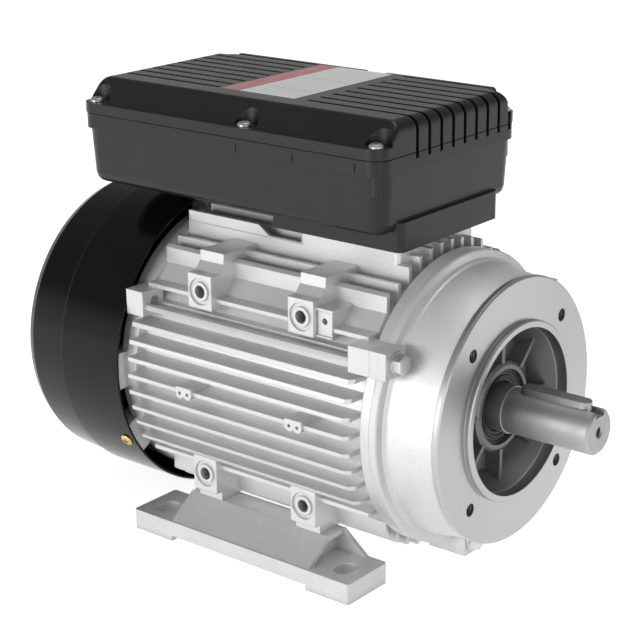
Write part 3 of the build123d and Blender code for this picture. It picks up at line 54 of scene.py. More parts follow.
# Stator frame
# The finned barrel is die cast in aluminium alloy and tumbled, so its skin is a fine
# grain with brighter worn edges. The feet and the rear shield are cast the same way.
def add(tree, kind, inputs=None, **settings):
    """A node of that kind with its settings, and its inputs as values or links."""
    made = tree.nodes.new(kind)
    for key, value in settings.items():
        setattr(made, key, value)
    for key, value in (inputs or {}).items():
        if isinstance(value, bpy.types.NodeSocket):
            tree.links.new(value, made.inputs[key])
        else:
            made.inputs[key].default_value = value
    return made


def node_group(name, inputs, outputs):
    """A shader group with named sockets, and its input and output nodes."""
    tree = bpy.data.node_groups.new(name, "ShaderNodeTree")
    for label, value in inputs:
        made = tree.interface.new_socket(label, in_out="INPUT", socket_type="NodeSocketFloat")
        made.default_value = value
    for label, kind in outputs:
        tree.interface.new_socket(label, in_out="OUTPUT", socket_type=kind)
    return tree, tree.nodes.new("NodeGroupInput").outputs, tree.nodes.new("NodeGroupOutput").inputs


def grey(level, tint=0.0):
    """An opaque grey whose blue is moved by tint."""
    return (level, level, level + tint, 1.0)


def ramp(tree, value, low, high, bottom=0.0, top=1.0):
    """value taken from low..high to bottom..top, and held at both ends."""
    span = {"Value": value, "From Min": low, "From Max": high, "To Min": bottom, "To Max": top}
    return add(tree, "ShaderNodeMapRange", span).outputs["Result"]


def maths(tree, operation, a, b=0.0):
    return add(tree, "ShaderNodeMath", {0: a, 1: b}, operation=operation).outputs[0]


def times(tree, a, b):
    return maths(tree, "MULTIPLY", a, b)


def mix(tree, share, first, second):
    return add(tree, "ShaderNodeMix", {0: share, 2: first, 3: second}, data_type="FLOAT").outputs[0]


def blend_colour(tree, share, first, second, way="MIX"):
    made = add(tree, "ShaderNodeMix", {0: share, 6: first, 7: second}, data_type="RGBA", blend_type=way)
    return made.outputs[2]


def noise(tree, spot, scale, detail, roughness=0.5):
    inputs = {"Vector": spot, "Scale": scale, "Detail": detail, "Roughness": roughness}
    return add(tree, "ShaderNodeTexNoise", inputs).outputs["Fac"]


def vector(tree, **parts):
    return add(tree, "ShaderNodeCombineXYZ", parts).outputs[0]


def place(tree):
    """Object coordinates, their x, y and z, and the distance from the shaft's axis."""
    spot = add(tree, "ShaderNodeTexCoord").outputs["Object"]
    x, y, z = add(tree, "ShaderNodeSeparateXYZ", {0: spot}).outputs
    far = maths(tree, "SQRT", maths(tree, "ADD", times(tree, y, y), times(tree, z, z)))
    return {"spot": spot, "x": x, "y": y, "z": z, "far": far}


grain_group, asked, given = node_group(
    "cast_grain", (("Grain Per Metre", 1500.0), ("Mottle Per Metre", 70.0)),
    (("Height", "NodeSocketFloat"), ("Tone", "NodeSocketFloat")))
spot = add(grain_group, "ShaderNodeTexCoord").outputs["Object"]
fine = noise(grain_group, spot, asked[0], 3.0, 0.65)
pits = add(grain_group, "ShaderNodeTexVoronoi", {"Vector": spot, "Scale": asked[0], "Randomness": 1.0},
           feature="SMOOTH_F1").outputs["Distance"]
broad = noise(grain_group, spot, asked[1], 4.0, 0.6)
grain_group.links.new(maths(grain_group, "ADD", fine, times(grain_group, pits, 0.5)), given[0])
grain_group.links.new(maths(grain_group, "ADD", times(grain_group, broad, 0.25),
                            times(grain_group, fine, 0.75)), given[1])

edge_group, asked, given = node_group(
    "rounded_edge", (("Radius", 0.0006), ("Softness", 0.35)),
    (("Normal", "NodeSocketVector"), ("Edge", "NodeSocketFloat")))
soft = add(edge_group, "ShaderNodeBevel", {"Radius": asked[0]}, samples=4).outputs[0]
true = add(edge_group, "ShaderNodeNewGeometry").outputs["Normal"]
meet = add(edge_group, "ShaderNodeVectorMath", {0: soft, 1: true}, operation="DOT_PRODUCT").outputs["Value"]
apart = maths(edge_group, "SUBTRACT", 1.0, meet)
edge_group.links.new(soft, given[0])
edge_group.links.new(maths(edge_group, "MINIMUM", maths(edge_group, "DIVIDE", apart, asked[1]), 1.0), given[1])

shade_group, asked, given = node_group(
    "recess_shade", (("Reach", 0.012), ("Depth", 0.6)), (("Shade", "NodeSocketFloat"),))
hidden = add(shade_group, "ShaderNodeAmbientOcclusion", {"Distance": asked[0]}, samples=4).outputs["AO"]
shade_group.links.new(mix(shade_group, asked[1], 1.0, hidden), given[0])


def use(tree, which, **values):
    """The outputs of a shader group with its inputs set."""
    made = add(tree, "ShaderNodeGroup", node_tree=which)
    for key, value in values.items():
        made.inputs[key.replace("_", " ")].default_value = value
    return made.outputs


def blank(name, **constants):
    """A material with only its surface shader, and the constants set on the shader's own sockets."""
    made = bpy.data.materials.new(name)
    made.use_nodes = True
    shader = made.node_tree.nodes["Principled BSDF"]
    for key, value in constants.items():
        shader.inputs[key.replace("_", " ")].default_value = value
    return made, made.node_tree, shader


def feed(tree, node, **sockets):
    """The node's inputs of those names take those sockets."""
    for key, socket in sockets.items():
        tree.links.new(socket, node.inputs[key.replace("_", " ")])


def fed_by(node, key):
    return node.inputs[key].links[0].from_socket


def raised(tree, shader, height, strength, distance, normal=None):
    """The shader's normal follows the height."""
    inputs = {"Height": height, "Strength": strength, "Distance": distance}
    if normal is not None:
        inputs["Normal"] = normal
    feed(tree, shader, Normal=add(tree, "ShaderNodeBump", inputs).outputs[0])


def cast_metal(name, light, dark, rough, depth=0.5, corners=0.4):
    """Cast aluminium skin: grain, broad mottling, brighter worn edges, painted shade in the corners."""
    made, tree, shader = blank(name, Metallic=0.42)
    skin = use(tree, grain_group, Grain_Per_Metre=1500.0)
    edge = use(tree, edge_group, Radius=0.7 * MM)
    shade = use(tree, shade_group, Reach=4 * MM, Depth=corners)[0]
    tone = blend_colour(tree, ramp(tree, skin["Tone"], 0.38, 0.64), dark, light)
    worn = blend_colour(tree, times(tree, edge["Edge"], 0.5), tone, grey(0.80, -0.01))
    # Painted shade: ambient occlusion darkens the colour in corners and recesses.
    painted_corner_shade = add(tree, "ShaderNodeCombineColor", {0: shade, 1: shade, 2: shade}).outputs[0]
    feed(tree, shader, Base_Color=blend_colour(tree, 1.0, worn, painted_corner_shade, "MULTIPLY"),
         Roughness=ramp(tree, skin["Tone"], 0.3, 0.7, rough + 0.07, rough - 0.05))
    raised(tree, shader, skin["Height"], depth, 0.12 * MM, edge["Normal"])
    return made, tree, shader


def dress(material, *names):
    """The CAD nodes of those names show that material."""
    for name in names:
        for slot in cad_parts[name].material_slots:
            slot.material = material


cast_skin = cast_metal("cast_aluminium", grey(0.82, -0.01), grey(0.68), 0.40, depth=0.6)[0]
dress(cast_skin, "foot_near", "foot_far", "rear_end_shield", "rotor_cage")
# Painted light: the stator frame is a brighter copy of the cast skin, and what stands out from the barrel between the
# fins is painted greyer as painted shade.
BARREL_RADIUS, FIN_SHADE_RADIUS = 70 * MM, 76 * MM
finned, tree, shader = cast_metal("finned_aluminium_painted_light", grey(0.95, -0.01), grey(0.85, -0.01), 0.38, corners=0.12)
painted_fin_shade = times(tree, ramp(tree, place(tree)["far"], BARREL_RADIUS, FIN_SHADE_RADIUS), 0.22)
feed(tree, shader, Base_Color=blend_colour(tree, painted_fin_shade, fed_by(shader, "Base Color"), grey(0.30)))
dress(finned, "stator_frame")

# Front end shield
# Cast in the same alloy, then turned on its flange face and spigot, which leaves fine
# rings about the shaft. The cup round the bearing stays as cast, and is painted darker as painted shade in its
# recess.
CUP_RADIUS, FACE_BACK = 43.4 * MM, -3.5 * MM
shield_skin, tree, shader = cast_metal("turned_shield", grey(0.82, -0.01), grey(0.70), 0.38)
here = place(tree)
# Painted shade: inside the cup the colour is darkened towards a near black grey.
painted_cup_shade = times(tree, ramp(tree, here["far"], CUP_RADIUS + 0.3 * MM, CUP_RADIUS - 0.2 * MM),
            ramp(tree, here["x"], -2.2 * MM, -3.4 * MM))
turned = times(tree, ramp(tree, here["x"], FACE_BACK - 0.2 * MM, FACE_BACK + 0.2 * MM),
               ramp(tree, here["far"], CUP_RADIUS, CUP_RADIUS + 0.4 * MM))
rings = noise(tree, vector(tree, X=here["far"]), 2600.0, 2.0)
bright = blend_colour(tree, rings, grey(0.40), grey(0.56))
coat = blend_colour(tree, turned, fed_by(shader, "Base Color"), bright)
grain = shader.inputs["Normal"].links[0].from_node
feed(tree, grain, Height=mix(tree, turned, fed_by(grain, "Height"), times(tree, rings, 0.6)))
feed(tree, shader, Base_Color=blend_colour(tree, times(tree, painted_cup_shade, 0.8), coat, grey(0.09, 0.005)),
     Roughness=mix(tree, turned, fed_by(shader, "Roughness"), 0.3),
     Metallic=ramp(tree, turned, 0, 1, 0.42, 0.85),
     Tangent=add(tree, "ShaderNodeTangent", direction_type="RADIAL", axis="X").outputs[0])
shader.inputs["Anisotropic"].default_value = 0.8
dress(shield_skin, "front_end_shield")


# Bolts and screws
# Zinc plated hexagon bolts with plain washers hold the shields, and pan head screws with
# a cross recess hold the lid. One tree makes the head, washer and shank and sets a copy
# at each place, turned as the place says.
def modifier_tree(name, inputs):
    """A geometry tree with a mesh in and out, the named numbers and a finish."""
    tree = bpy.data.node_groups.new(name, "GeometryNodeTree")
    tree.interface.new_socket("Geometry", in_out="OUTPUT", socket_type="NodeSocketGeometry")
    tree.interface.new_socket("Geometry", in_out="INPUT", socket_type="NodeSocketGeometry")
    for label, value in inputs:
        kind = "NodeSocketInt" if isinstance(value, int) else "NodeSocketFloat"
        tree.interface.new_socket(label, in_out="INPUT", socket_type=kind).default_value = value
    tree.interface.new_socket("Finish", in_out="INPUT", socket_type="NodeSocketMaterial")
    return tree, add(tree, "NodeGroupInput").outputs, add(tree, "NodeGroupOutput").inputs


def lift(tree, geometry, height):
    where = vector(tree, Z=height)
    return add(tree, "GeometryNodeTransform", {"Geometry": geometry, "Translation": where}).outputs[0]


def joined(tree, *parts):
    made = add(tree, "GeometryNodeJoinGeometry")
    for part in parts:
        tree.links.new(part, made.inputs[0])
    return made.outputs[0]


def half(tree, value):
    return times(tree, value, 0.5)


def rod(tree, sides, radius, depth):
    inputs = {"Vertices": sides, "Radius": radius, "Depth": depth}
    return add(tree, "GeometryNodeMeshCylinder", inputs).outputs[0]


def cone(tree, sides, bottom, top, depth):
    inputs = {"Vertices": sides, "Radius Bottom": bottom, "Radius Top": top, "Depth": depth}
    return add(tree, "GeometryNodeMeshCone", inputs).outputs[0]


def point_turn(tree):
    """The turn that each point carries."""
    turn = add(tree, "GeometryNodeInputNamedAttribute", {"Name": "turn"}, data_type="FLOAT_VECTOR").outputs[0]
    return add(tree, "FunctionNodeEulerToRotation", {0: turn}).outputs[0]


def set_out(tree, points, one, spin, finish, given):
    """The tree's result: a real copy of one at each point, turned, with its finish."""
    copies = add(tree, "GeometryNodeInstanceOnPoints", {"Points": points, "Instance": one, "Rotation": spin})
    real = add(tree, "GeometryNodeRealizeInstances", {"Geometry": copies.outputs[0]})
    finished = add(tree, "GeometryNodeSetMaterial", {"Geometry": real.outputs[0], "Material": finish})
    tree.links.new(finished.outputs[0], given[0])


screw_tree, asked, given = modifier_tree("screw_set", (
    ("Sides", 6), ("Head Radius", 0.0056), ("Head Height", 0.004), ("Crown Radius", 0.0048),
    ("Crown Height", 0.0006), ("Washer Radius", 0.006), ("Washer Height", 0.0012),
    ("Shank Radius", 0.003), ("Shank Length", 0.02), ("Recess Length", 0.0),
    ("Recess Width", 0.0), ("Recess Depth", 0.001)))
sides = asked["Sides"]
washer = lift(screw_tree, rod(screw_tree, 40, asked["Washer Radius"], asked["Washer Height"]),
              half(screw_tree, asked["Washer Height"]))
head = lift(screw_tree, cone(screw_tree, sides, asked["Head Radius"], asked["Head Radius"], asked["Head Height"]),
            asked["Washer Height"])
top = maths(screw_tree, "ADD", asked["Washer Height"], asked["Head Height"])
crown = lift(screw_tree, cone(screw_tree, sides, asked["Head Radius"], asked["Crown Radius"],
                              asked["Crown Height"]), top)
peak = maths(screw_tree, "ADD", top, asked["Crown Height"])
cap = lift(screw_tree, cone(screw_tree, sides, asked["Crown Radius"], times(screw_tree, asked["Crown Radius"], 0.72),
                            half(screw_tree, asked["Crown Height"])), peak)
summit = maths(screw_tree, "ADD", peak, half(screw_tree, asked["Crown Height"]))
deep = times(screw_tree, asked["Recess Depth"], 2.0)
bars = []
for along, across in (("Recess Length", "Recess Width"), ("Recess Width", "Recess Length")):
    size = vector(screw_tree, X=asked[along], Y=asked[across], Z=deep)
    bars.append(lift(screw_tree, add(screw_tree, "GeometryNodeMeshCube", {"Size": size}).outputs[0], summit))
whole = add(screw_tree, "GeometryNodeMeshBoolean", operation="UNION", solver="EXACT")
for part in (head, crown, cap):
    screw_tree.links.new(part, whole.inputs["Mesh 2"])
cut = add(screw_tree, "GeometryNodeMeshBoolean", {"Mesh 1": whole.outputs[0]}, operation="DIFFERENCE", solver="EXACT")
for part in bars:
    screw_tree.links.new(part, cut.inputs["Mesh 2"])
recessed = maths(screw_tree, "GREATER_THAN", asked["Recess Length"], 0.0001)
chosen = add(screw_tree, "GeometryNodeSwitch", {
    "Switch": recessed, "False": joined(screw_tree, head, crown, cap), "True": cut.outputs[0]},
    input_type="GEOMETRY").outputs[0]
shank = lift(screw_tree, rod(screw_tree, 24, asked["Shank Radius"], asked["Shank Length"]),
             times(screw_tree, asked["Shank Length"], -0.5))
set_out(screw_tree, asked["Geometry"], joined(screw_tree, washer, chosen, shank), point_turn(screw_tree),
        asked["Finish"], given)


def grow(name, mesh, tree, finish, body, crease=35, **sizes):
    """The mesh with the tree's result baked in, as a plain piece on that body."""
    piece = bpy.data.objects.new(name, mesh)
    bpy.context.scene.collection.objects.link(piece)
    worker = piece.modifiers.new("shape", "NODES")
    worker.node_group = tree
    sockets = {s.name: s.identifier for s in tree.interface.items_tree if s.in_out == "INPUT"}
    for key, value in sizes.items():
        worker[sockets[key.replace("_", " ")]] = value
    worker[sockets["Finish"]] = finish
    seen = bpy.context.evaluated_depsgraph_get()
    baked = bpy.data.meshes.new_from_object(piece.evaluated_get(seen))
    piece.modifiers.remove(worker)
    piece.data = baked
    baked.name = name
    baked.shade_smooth()
    baked.set_sharp_from_angle(angle=math.radians(crease))
    if not baked.materials:
        baked.materials.append(finish)
    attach(piece, body)
    return piece


def places(name, spots):
    """A mesh of single points, each with the turn that its copy takes."""
    mesh = bpy.data.meshes.new(name)
    mesh.from_pydata([where for where, _ in spots], [], [])
    store = mesh.attributes.new("turn", "FLOAT_VECTOR", "POINT")
    for k, (_, turned) in enumerate(spots):
        store.data[k].vector = turned
    return mesh


def round_shaft(x, radius, degrees):
    """A point at that distance from the shaft's axis, at an angle from the far side upwards."""
    angle = math.radians(degrees)
    return (x, radius * math.cos(angle), radius * math.sin(angle))


def plated(name, colour, dark, rough):
    """Plated steel or brass: fine rolled grain, a little staining, bright edges."""
    made, tree, shader = blank(name, Metallic=1.0)
    skin = use(tree, grain_group, Grain_Per_Metre=2600.0, Mottle_Per_Metre=220.0)
    edge = use(tree, edge_group, Radius=0.25 * MM)
    tone = blend_colour(tree, ramp(tree, skin["Tone"], 0.35, 0.65), dark, colour)
    feed(tree, shader, Base_Color=blend_colour(tree, times(tree, edge["Edge"], 0.5), tone, (0.95, 0.94, 0.9, 1.0)),
         Roughness=ramp(tree, skin["Tone"], 0.3, 0.7, rough + 0.12, rough - 0.04))
    raised(tree, shader, skin["Height"], 0.25, 0.04 * MM, edge["Normal"])
    return made


zinc = plated("zinc_plate", (0.72, 0.73, 0.74, 1.0), (0.5, 0.51, 0.52, 1.0), 0.32)
brass = plated("brass_plate", (0.78, 0.58, 0.24, 1.0), (0.52, 0.36, 0.12, 1.0), 0.3)
QUARTER = math.pi / 2
LUGS = (30, 150, 270)
LUG_RING = 79 * MM
for node, face, way, wide, washer_r, shank_l in (
        ("front_shield_bolts", -25.4 * MM, 1, 5.5 * MM, 6.2 * MM, 22 * MM),
        ("rear_shield_bolts", -206 * MM, -1, 4.9 * MM, 5.3 * MM, 14 * MM)):
    spots = [(round_shaft(face, LUG_RING, a), (0, way * QUARTER, 0)) for a in LUGS]
    piece = grow("hexagon_" + node, places(node, spots), screw_tree, zinc, "motor_housing",
                 Head_Radius=wide, Head_Height=3.4 * MM, Crown_Radius=wide * 0.86,
                 Crown_Height=0.5 * MM, Washer_Radius=washer_r, Washer_Height=1.3 * MM,
                 Shank_Radius=2.9 * MM, Shank_Length=shank_l)
    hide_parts(node)
# Each screw stopped at a turn of its own, so the crosses don't line up.
LID_SCREWS = [((x * MM, side * 54.9 * MM, 139.8 * MM), (0, 0, 0.35 + x))
              for x in (-238, -132, -48.5) for side in (-1, 1)]
BOX_SCREWS = [((x * MM, side * 26.5 * MM, 88.4 * MM), (0, 0, x))
              for x in (-57.1, -108.9) for side in (-1, 1)]
for node, spots, wide, shank_r, shank_l in (("lid_screws", LID_SCREWS, 3.8 * MM, 1.7 * MM, 15 * MM),
                                            ("box_screws", BOX_SCREWS, 4.3 * MM, 1.9 * MM, 12 * MM)):
    piece = grow("pan_head_" + node, places(node, spots), screw_tree, zinc, "motor_housing",
                 crease=28, Sides=40, Head_Radius=wide, Head_Height=0.8 * MM,
                 Crown_Radius=wide * 0.86, Crown_Height=0.8 * MM, Washer_Radius=wide * 0.6,
                 Washer_Height=0.05 * MM, Shank_Radius=shank_r, Shank_Length=shank_l,
                 Recess_Length=4.4 * MM, Recess_Width=0.9 * MM, Recess_Depth=1.3 * MM)
    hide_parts(node)
COWL_RADIUS = 86.6 * MM
COWL_SCREWS = [(round_shaft(-206 * MM, COWL_RADIUS, a), (math.radians(a - 90), 0, 0)) for a in (90, 210, 330)]
piece = grow("pan_head_cowl_screws", places("cowl_screws", COWL_SCREWS), screw_tree, brass,
             "motor_housing", crease=28, Sides=40, Head_Radius=3.7 * MM, Head_Height=0.6 * MM,
             Crown_Radius=3.1 * MM, Crown_Height=0.7 * MM, Washer_Radius=2.6 * MM,
             Washer_Height=0.05 * MM, Shank_Radius=1.9 * MM, Shank_Length=10 * MM,
             Recess_Length=4.2 * MM, Recess_Width=0.9 * MM, Recess_Depth=1.2 * MM)
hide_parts("cowl_screws")
dress(zinc, "foot_bolts", "capacitor_straps", "governor_plate", "fan_circlip", "flyweight_upper",
      "flyweight_lower")
dress(brass, "switch_contacts", "switch_arm", "terminal_studs", "terminal_nuts", "terminal_links",
      "front_bearing_cage", "rear_bearing_cage")

# Threads
# M8 threads are cut in the flange's four holes and in the eight pads of the barrel. In
# each hole they are one spiral ridge, painted dark as painted shade inside the hole.
thread_tree, asked, given = modifier_tree("tapped_threads", (
    ("Radius", 0.00338), ("Ridge", 0.00034), ("Pitch", 0.00125), ("Turns", 9.0)))
deep = times(thread_tree, asked["Pitch"], asked["Turns"])
helix = add(thread_tree, "GeometryNodeCurveSpiral", {
    "Resolution": 28, "Rotations": asked["Turns"], "Start Radius": asked["Radius"],
    "End Radius": asked["Radius"], "Height": deep}).outputs[0]
tooth = add(thread_tree, "GeometryNodeCurvePrimitiveCircle", {"Resolution": 4, "Radius": asked["Ridge"]}).outputs[0]
ridge = add(thread_tree, "GeometryNodeCurveToMesh", {
    "Curve": helix, "Profile Curve": tooth, "Fill Caps": True}).outputs[0]
set_out(thread_tree, asked["Geometry"], lift(thread_tree, ridge, times(thread_tree, deep, -1.0)),
        point_turn(thread_tree), asked["Finish"], given)
FLANGE_RING, PAD_FACE = 57.5 * MM, 68.4 * MM
TAPPED = [(round_shaft(-1.2 * MM, FLANGE_RING, a), (0, QUARTER, 0)) for a in (45, 135, 225, 315)]
TAPPED += [((x * MM, side * PAD_FACE, z * MM), (-side * QUARTER, 0, 0))
           for x in (-84.2, -152.4) for z in (-51.5, 51.5) for side in (-1, 1)]
# Painted shade: the thread ridges are coloured dark to stand in for the shade inside the holes.
thread_shade_metal = plated("thread_painted_shade", grey(0.22), grey(0.12), 0.34)
piece = grow("tapped_threads", places("tapped_threads", TAPPED), thread_tree, thread_shade_metal,
             "motor_housing", Radius=3.38 * MM, Ridge=0.34 * MM, Pitch=1.25 * MM, Turns=8.6)

# Core and windings
# Stamped steel sheets are stacked for the stator and the rotor, so their edges show as
# fine lines across the shaft. Enamelled copper wire fills the slots and is varnished.
sheet_steel, tree, shader = blank("stacked_sheets", Metallic=1.0)
leaves = add(tree, "ShaderNodeTexWave", {"Vector": place(tree)["spot"], "Scale": 320.0, "Distortion": 0.3},
             bands_direction="X").outputs["Fac"]
feed(tree, shader, Base_Color=blend_colour(tree, leaves, grey(0.22, 0.01), grey(0.42, 0.01)),
     Roughness=ramp(tree, leaves, 0, 1, 0.55, 0.4))
raised(tree, shader, leaves, 0.4, 0.1 * MM)
dress(sheet_steel, "stator_core", "rotor_core")
for name, colour, dark in (("main_winding", (0.55, 0.20, 0.08, 1.0), (0.30, 0.09, 0.03, 1.0)),
                           ("auxiliary_winding", (0.62, 0.30, 0.10, 1.0), (0.36, 0.14, 0.04, 1.0))):
    copper, tree, shader = blank("enamel_" + name, Metallic=0.0, Coat_Weight=0.5)
    strands = add(tree, "ShaderNodeTexWave", {
        "Vector": place(tree)["spot"], "Scale": 160.0, "Distortion": 5.0, "Detail": 2.0},
        bands_direction="DIAGONAL").outputs["Fac"]
    feed(tree, shader, Base_Color=blend_colour(tree, strands, dark, colour),
         Roughness=ramp(tree, strands, 0, 1, 0.5, 0.28))
    raised(tree, shader, strands, 0.8, 0.5 * MM)
    dress(copper, name)


# Shaft, key and bearings
# The shaft is turned and ground bright steel with an open keyway and a parallel key.
# The bearings are polished rings with balls between pressed cages.
def lathe_steel(name, light, dark, rough, pitch):
    """Turned steel: fine rings round the shaft's axis."""
    made, tree, shader = blank(name, Metallic=1.0)
    here = place(tree)
    side = noise(tree, vector(tree, X=here["x"], Y=here["far"]), pitch, 3.0)
    stain = noise(tree, here["spot"], 90.0, 4.0)
    edge = use(tree, edge_group, Radius=0.3 * MM)
    blur = maths(tree, "ADD", half(tree, side), half(tree, stain))
    tone = blend_colour(tree, ramp(tree, blur, 0.3, 0.7), dark, light)
    feed(tree, shader, Base_Color=blend_colour(tree, half(tree, edge["Edge"]), tone, grey(0.9)),
         Roughness=ramp(tree, stain, 0.3, 0.7, rough + 0.06, rough - 0.05))
    raised(tree, shader, side, 0.15, 0.03 * MM, edge["Normal"])
    return made


dress(lathe_steel("ground_steel", grey(0.45), grey(0.41), 0.54, 2600.0), "shaft")
dress(lathe_steel("key_steel", grey(0.42), grey(0.32), 0.34, 1400.0), "shaft_key")
dress(lathe_steel("race_steel", (0.72, 0.73, 0.74, 1.0), (0.58, 0.59, 0.60, 1.0), 0.14, 3000.0),
      "front_bearing_outer_ring", "rear_bearing_outer_ring", "front_bearing_inner_ring",
      "rear_bearing_inner_ring", "front_bearing_balls", "rear_bearing_balls", "wave_washer")


# Rubber, boards and small insulation
# Seals and gaskets are black nitrile rubber. The switch board and the terminal block are
# pressed laminate, the capacitor cans pale moulded plastic, the leads tinned and covered.
def moulded(name, light, dark, rough, grain=1800.0, wear=0.3, worn=grey(0.5), **constants):
    """Moulded plastic or rubber: spark-etched grain, slightly paler edges."""
    made, tree, shader = blank(name, **constants)
    skin = use(tree, grain_group, Grain_Per_Metre=grain, Mottle_Per_Metre=45.0)
    edge = use(tree, edge_group, Radius=0.5 * MM)
    tone = blend_colour(tree, ramp(tree, skin["Tone"], 0.38, 0.64), dark, light)
    feed(tree, shader, Base_Color=blend_colour(tree, times(tree, edge["Edge"], wear), tone, worn),
         Roughness=ramp(tree, skin["Tone"], 0.3, 0.7, rough + 0.06, rough - 0.05))
    raised(tree, shader, skin["Height"], 0.3, 0.08 * MM, edge["Normal"])
    return made


dress(moulded("nitrile_rubber", grey(0.012), grey(0.007), 0.4, wear=0.1, IOR=1.4),
      "shaft_seal", "box_gasket", "lid_gasket", "gland_plug")
dress(moulded("pressed_laminate", (0.36, 0.19, 0.08, 1.0), (0.26, 0.13, 0.05, 1.0), 0.45),
      "switch_plate", "terminal_block")
dress(moulded("can_shell", grey(0.72, -0.02), grey(0.62, -0.02), 0.4),
      "start_capacitor", "run_capacitor", "governor_collar")
dress(moulded("lead_cover", (0.52, 0.05, 0.03, 1.0), (0.40, 0.03, 0.02, 1.0), 0.35), "lead_wires")

# Fan
# The fan behind the cowl is one black moulding: a hub and a dished plate with straight
# blades that blow either way round. The blades follow one rule, so a tree turns them.
BLADES = 9
SECTOR = 2 * math.pi / BLADES
fan_plastic = moulded("fan_plastic", grey(0.030), grey(0.020), 0.45, grain=900.0)
blade_tree, asked, given = modifier_tree("turned_blades", (("Count", BLADES),))
dots = add(blade_tree, "GeometryNodePoints", {"Count": asked["Count"]}).outputs[0]
index = add(blade_tree, "GeometryNodeInputIndex").outputs[0]
angle = times(blade_tree, maths(blade_tree, "DIVIDE", index, asked["Count"]), 2 * math.pi)
spin = add(blade_tree, "FunctionNodeEulerToRotation", {0: vector(blade_tree, X=angle)}).outputs[0]
set_out(blade_tree, dots, asked["Geometry"], spin, asked["Finish"], given)


def turned_profile(outline, steps, sector):
    """Points and faces of an outline of (x, radius) carried round a sector of the shaft's axis."""
    count = len(outline)
    points = [(x * MM, r * MM * math.cos(sector * k / steps), r * MM * math.sin(sector * k / steps))
              for k in range(steps + 1) for x, r in outline]
    faces = [(k * count + i, k * count + (i + 1) % count, (k + 1) * count + (i + 1) % count, (k + 1) * count + i)
             for k in range(steps) for i in range(count)]
    return points, faces


# Outlines in millimetres, as x and the distance from the shaft's axis.
HUB = ((-243, 9.05), (-243, 14.4), (-242.4, 15), (-226, 16), (-224.2, 30), (-221.7, 74), (-220.6, 76.9),
       (-219.2, 76.9), (-219.6, 74), (-221, 30), (-222, 16), (-222, 9.05))
BLADE = ((-223, 15.2), (-242.6, 14.2), (-249.5, 27), (-251.6, 31), (-252, 34), (-252, 71), (-250.5, 73.6),
         (-246.4, 76.6), (-221, 76.6))
HALF_BLADE = 1.05
points, faces = turned_profile(HUB, 8, SECTOR)
base, count = len(points), len(BLADE)
middle = SECTOR / 2
across = Vector((0, -math.sin(middle), math.cos(middle)))
for side in (-1, 1):
    for x, r in BLADE:
        out = Vector((x, r * math.cos(middle), r * math.sin(middle))) + across * side * HALF_BLADE
        points.append(tuple(out * MM))
faces.append(tuple(range(base, base + count)))
faces.append(tuple(reversed(range(base + count, base + 2 * count))))
faces += [(base + i, base + count + i, base + count + (i + 1) % count, base + (i + 1) % count)
          for i in range(count)]
slice_mesh = bpy.data.meshes.new("fan_slice")
slice_mesh.from_pydata(points, [], faces)
slice_mesh.validate()
piece = grow("fan_wheel", slice_mesh, blade_tree, fan_plastic, "rotor_shaft", crease=40, Count=BLADES)
work = bmesh.new()
work.from_mesh(piece.data)
bmesh.ops.remove_doubles(work, verts=work.verts, dist=0.01 * MM)
bmesh.ops.recalc_face_normals(work, faces=work.faces)
work.to_mesh(piece.data)
work.free()
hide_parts("fan")

# Fan cowl
# Deep drawn sheet steel, stepped near its rear, stoved in glossy black. The paint has a
# slight orange peel and thins to a softer line at the rims.
cowl_paint, tree, shader = blank("stoved_black", Metallic=0.0, Coat_Weight=0.1, Coat_Roughness=0.05, IOR=1.26)
spot = place(tree)["spot"]
peel = noise(tree, spot, 420.0, 2.0)
wave = noise(tree, spot, 22.0, 2.0)
edge = use(tree, edge_group, Radius=0.6 * MM)
black = blend_colour(tree, wave, grey(0.003), grey(0.006))
feed(tree, shader, Base_Color=blend_colour(tree, times(tree, edge["Edge"], 0.25), black, grey(0.12)),
     Roughness=ramp(tree, wave, 0.3, 0.7, 0.22, 0.13))
raised(tree, shader, maths(tree, "ADD", times(tree, peel, 0.1), wave), 0.12, 0.6 * MM, edge["Normal"])
dress(cowl_paint, "fan_cowl")

# Capacitor box
# Base, lid and cable gland are injection moulded in black plastic with a spark-etched
# skin. Handling leaves the lid's edges a shade paler.
box_plastic = moulded("etched_black", grey(0.021, 0.001), grey(0.013, 0.001), 0.31, grain=1500.0,
                      wear=0.4, worn=grey(0.10, 0.005), IOR=1.38)
dress(box_plastic, "capacitor_box_lid", "cable_gland", "gland_locknut", "gland_cap")
# The base is the same plastic, with painted shade as a dark line where the lid meets it.
SEAM_BOTTOM, SEAM_TOP = 133.0 * MM, 133.3 * MM
base_plastic = box_plastic.copy()
base_plastic.name = "etched_black_base"
tree = base_plastic.node_tree
shader = tree.nodes["Principled BSDF"]
# Painted shade: a thin band at the top of the base is darkened along the join with the lid.
painted_seam_shade = times(tree, ramp(tree, place(tree)["z"], SEAM_BOTTOM, SEAM_TOP), 0.8)
feed(tree, shader, Base_Color=blend_colour(tree, painted_seam_shade, fed_by(shader, "Base Color"), grey(0.008, 0.001)))
dress(base_plastic, "capacitor_box_base")
# Three small moulded pips stand on the near lip of the base.
pip_tree, asked, given = modifier_tree("lip_pips", (("Width", 0.0009), ("Proud", 0.0004), ("Height", 0.004)))
size = vector(pip_tree, X=asked["Width"], Y=times(pip_tree, asked["Proud"], 2.0), Z=asked["Height"])
block = add(pip_tree, "GeometryNodeMeshCube", {"Size": size}).outputs[0]
set_out(pip_tree, asked["Geometry"], block, point_turn(pip_tree), asked["Finish"], given)
LIP_FACE, PIP_Z = -60.2 * MM, 129.1 * MM
PIPS = [((x * MM, LIP_FACE, PIP_Z), (0, 0, 0)) for x in (-134, -97, -58)]
piece = grow("lip_pips", places("lip_pips", PIPS), pip_tree, base_plastic, "motor_housing",
             Width=0.9 * MM, Proud=0.4 * MM, Height=4.2 * MM)


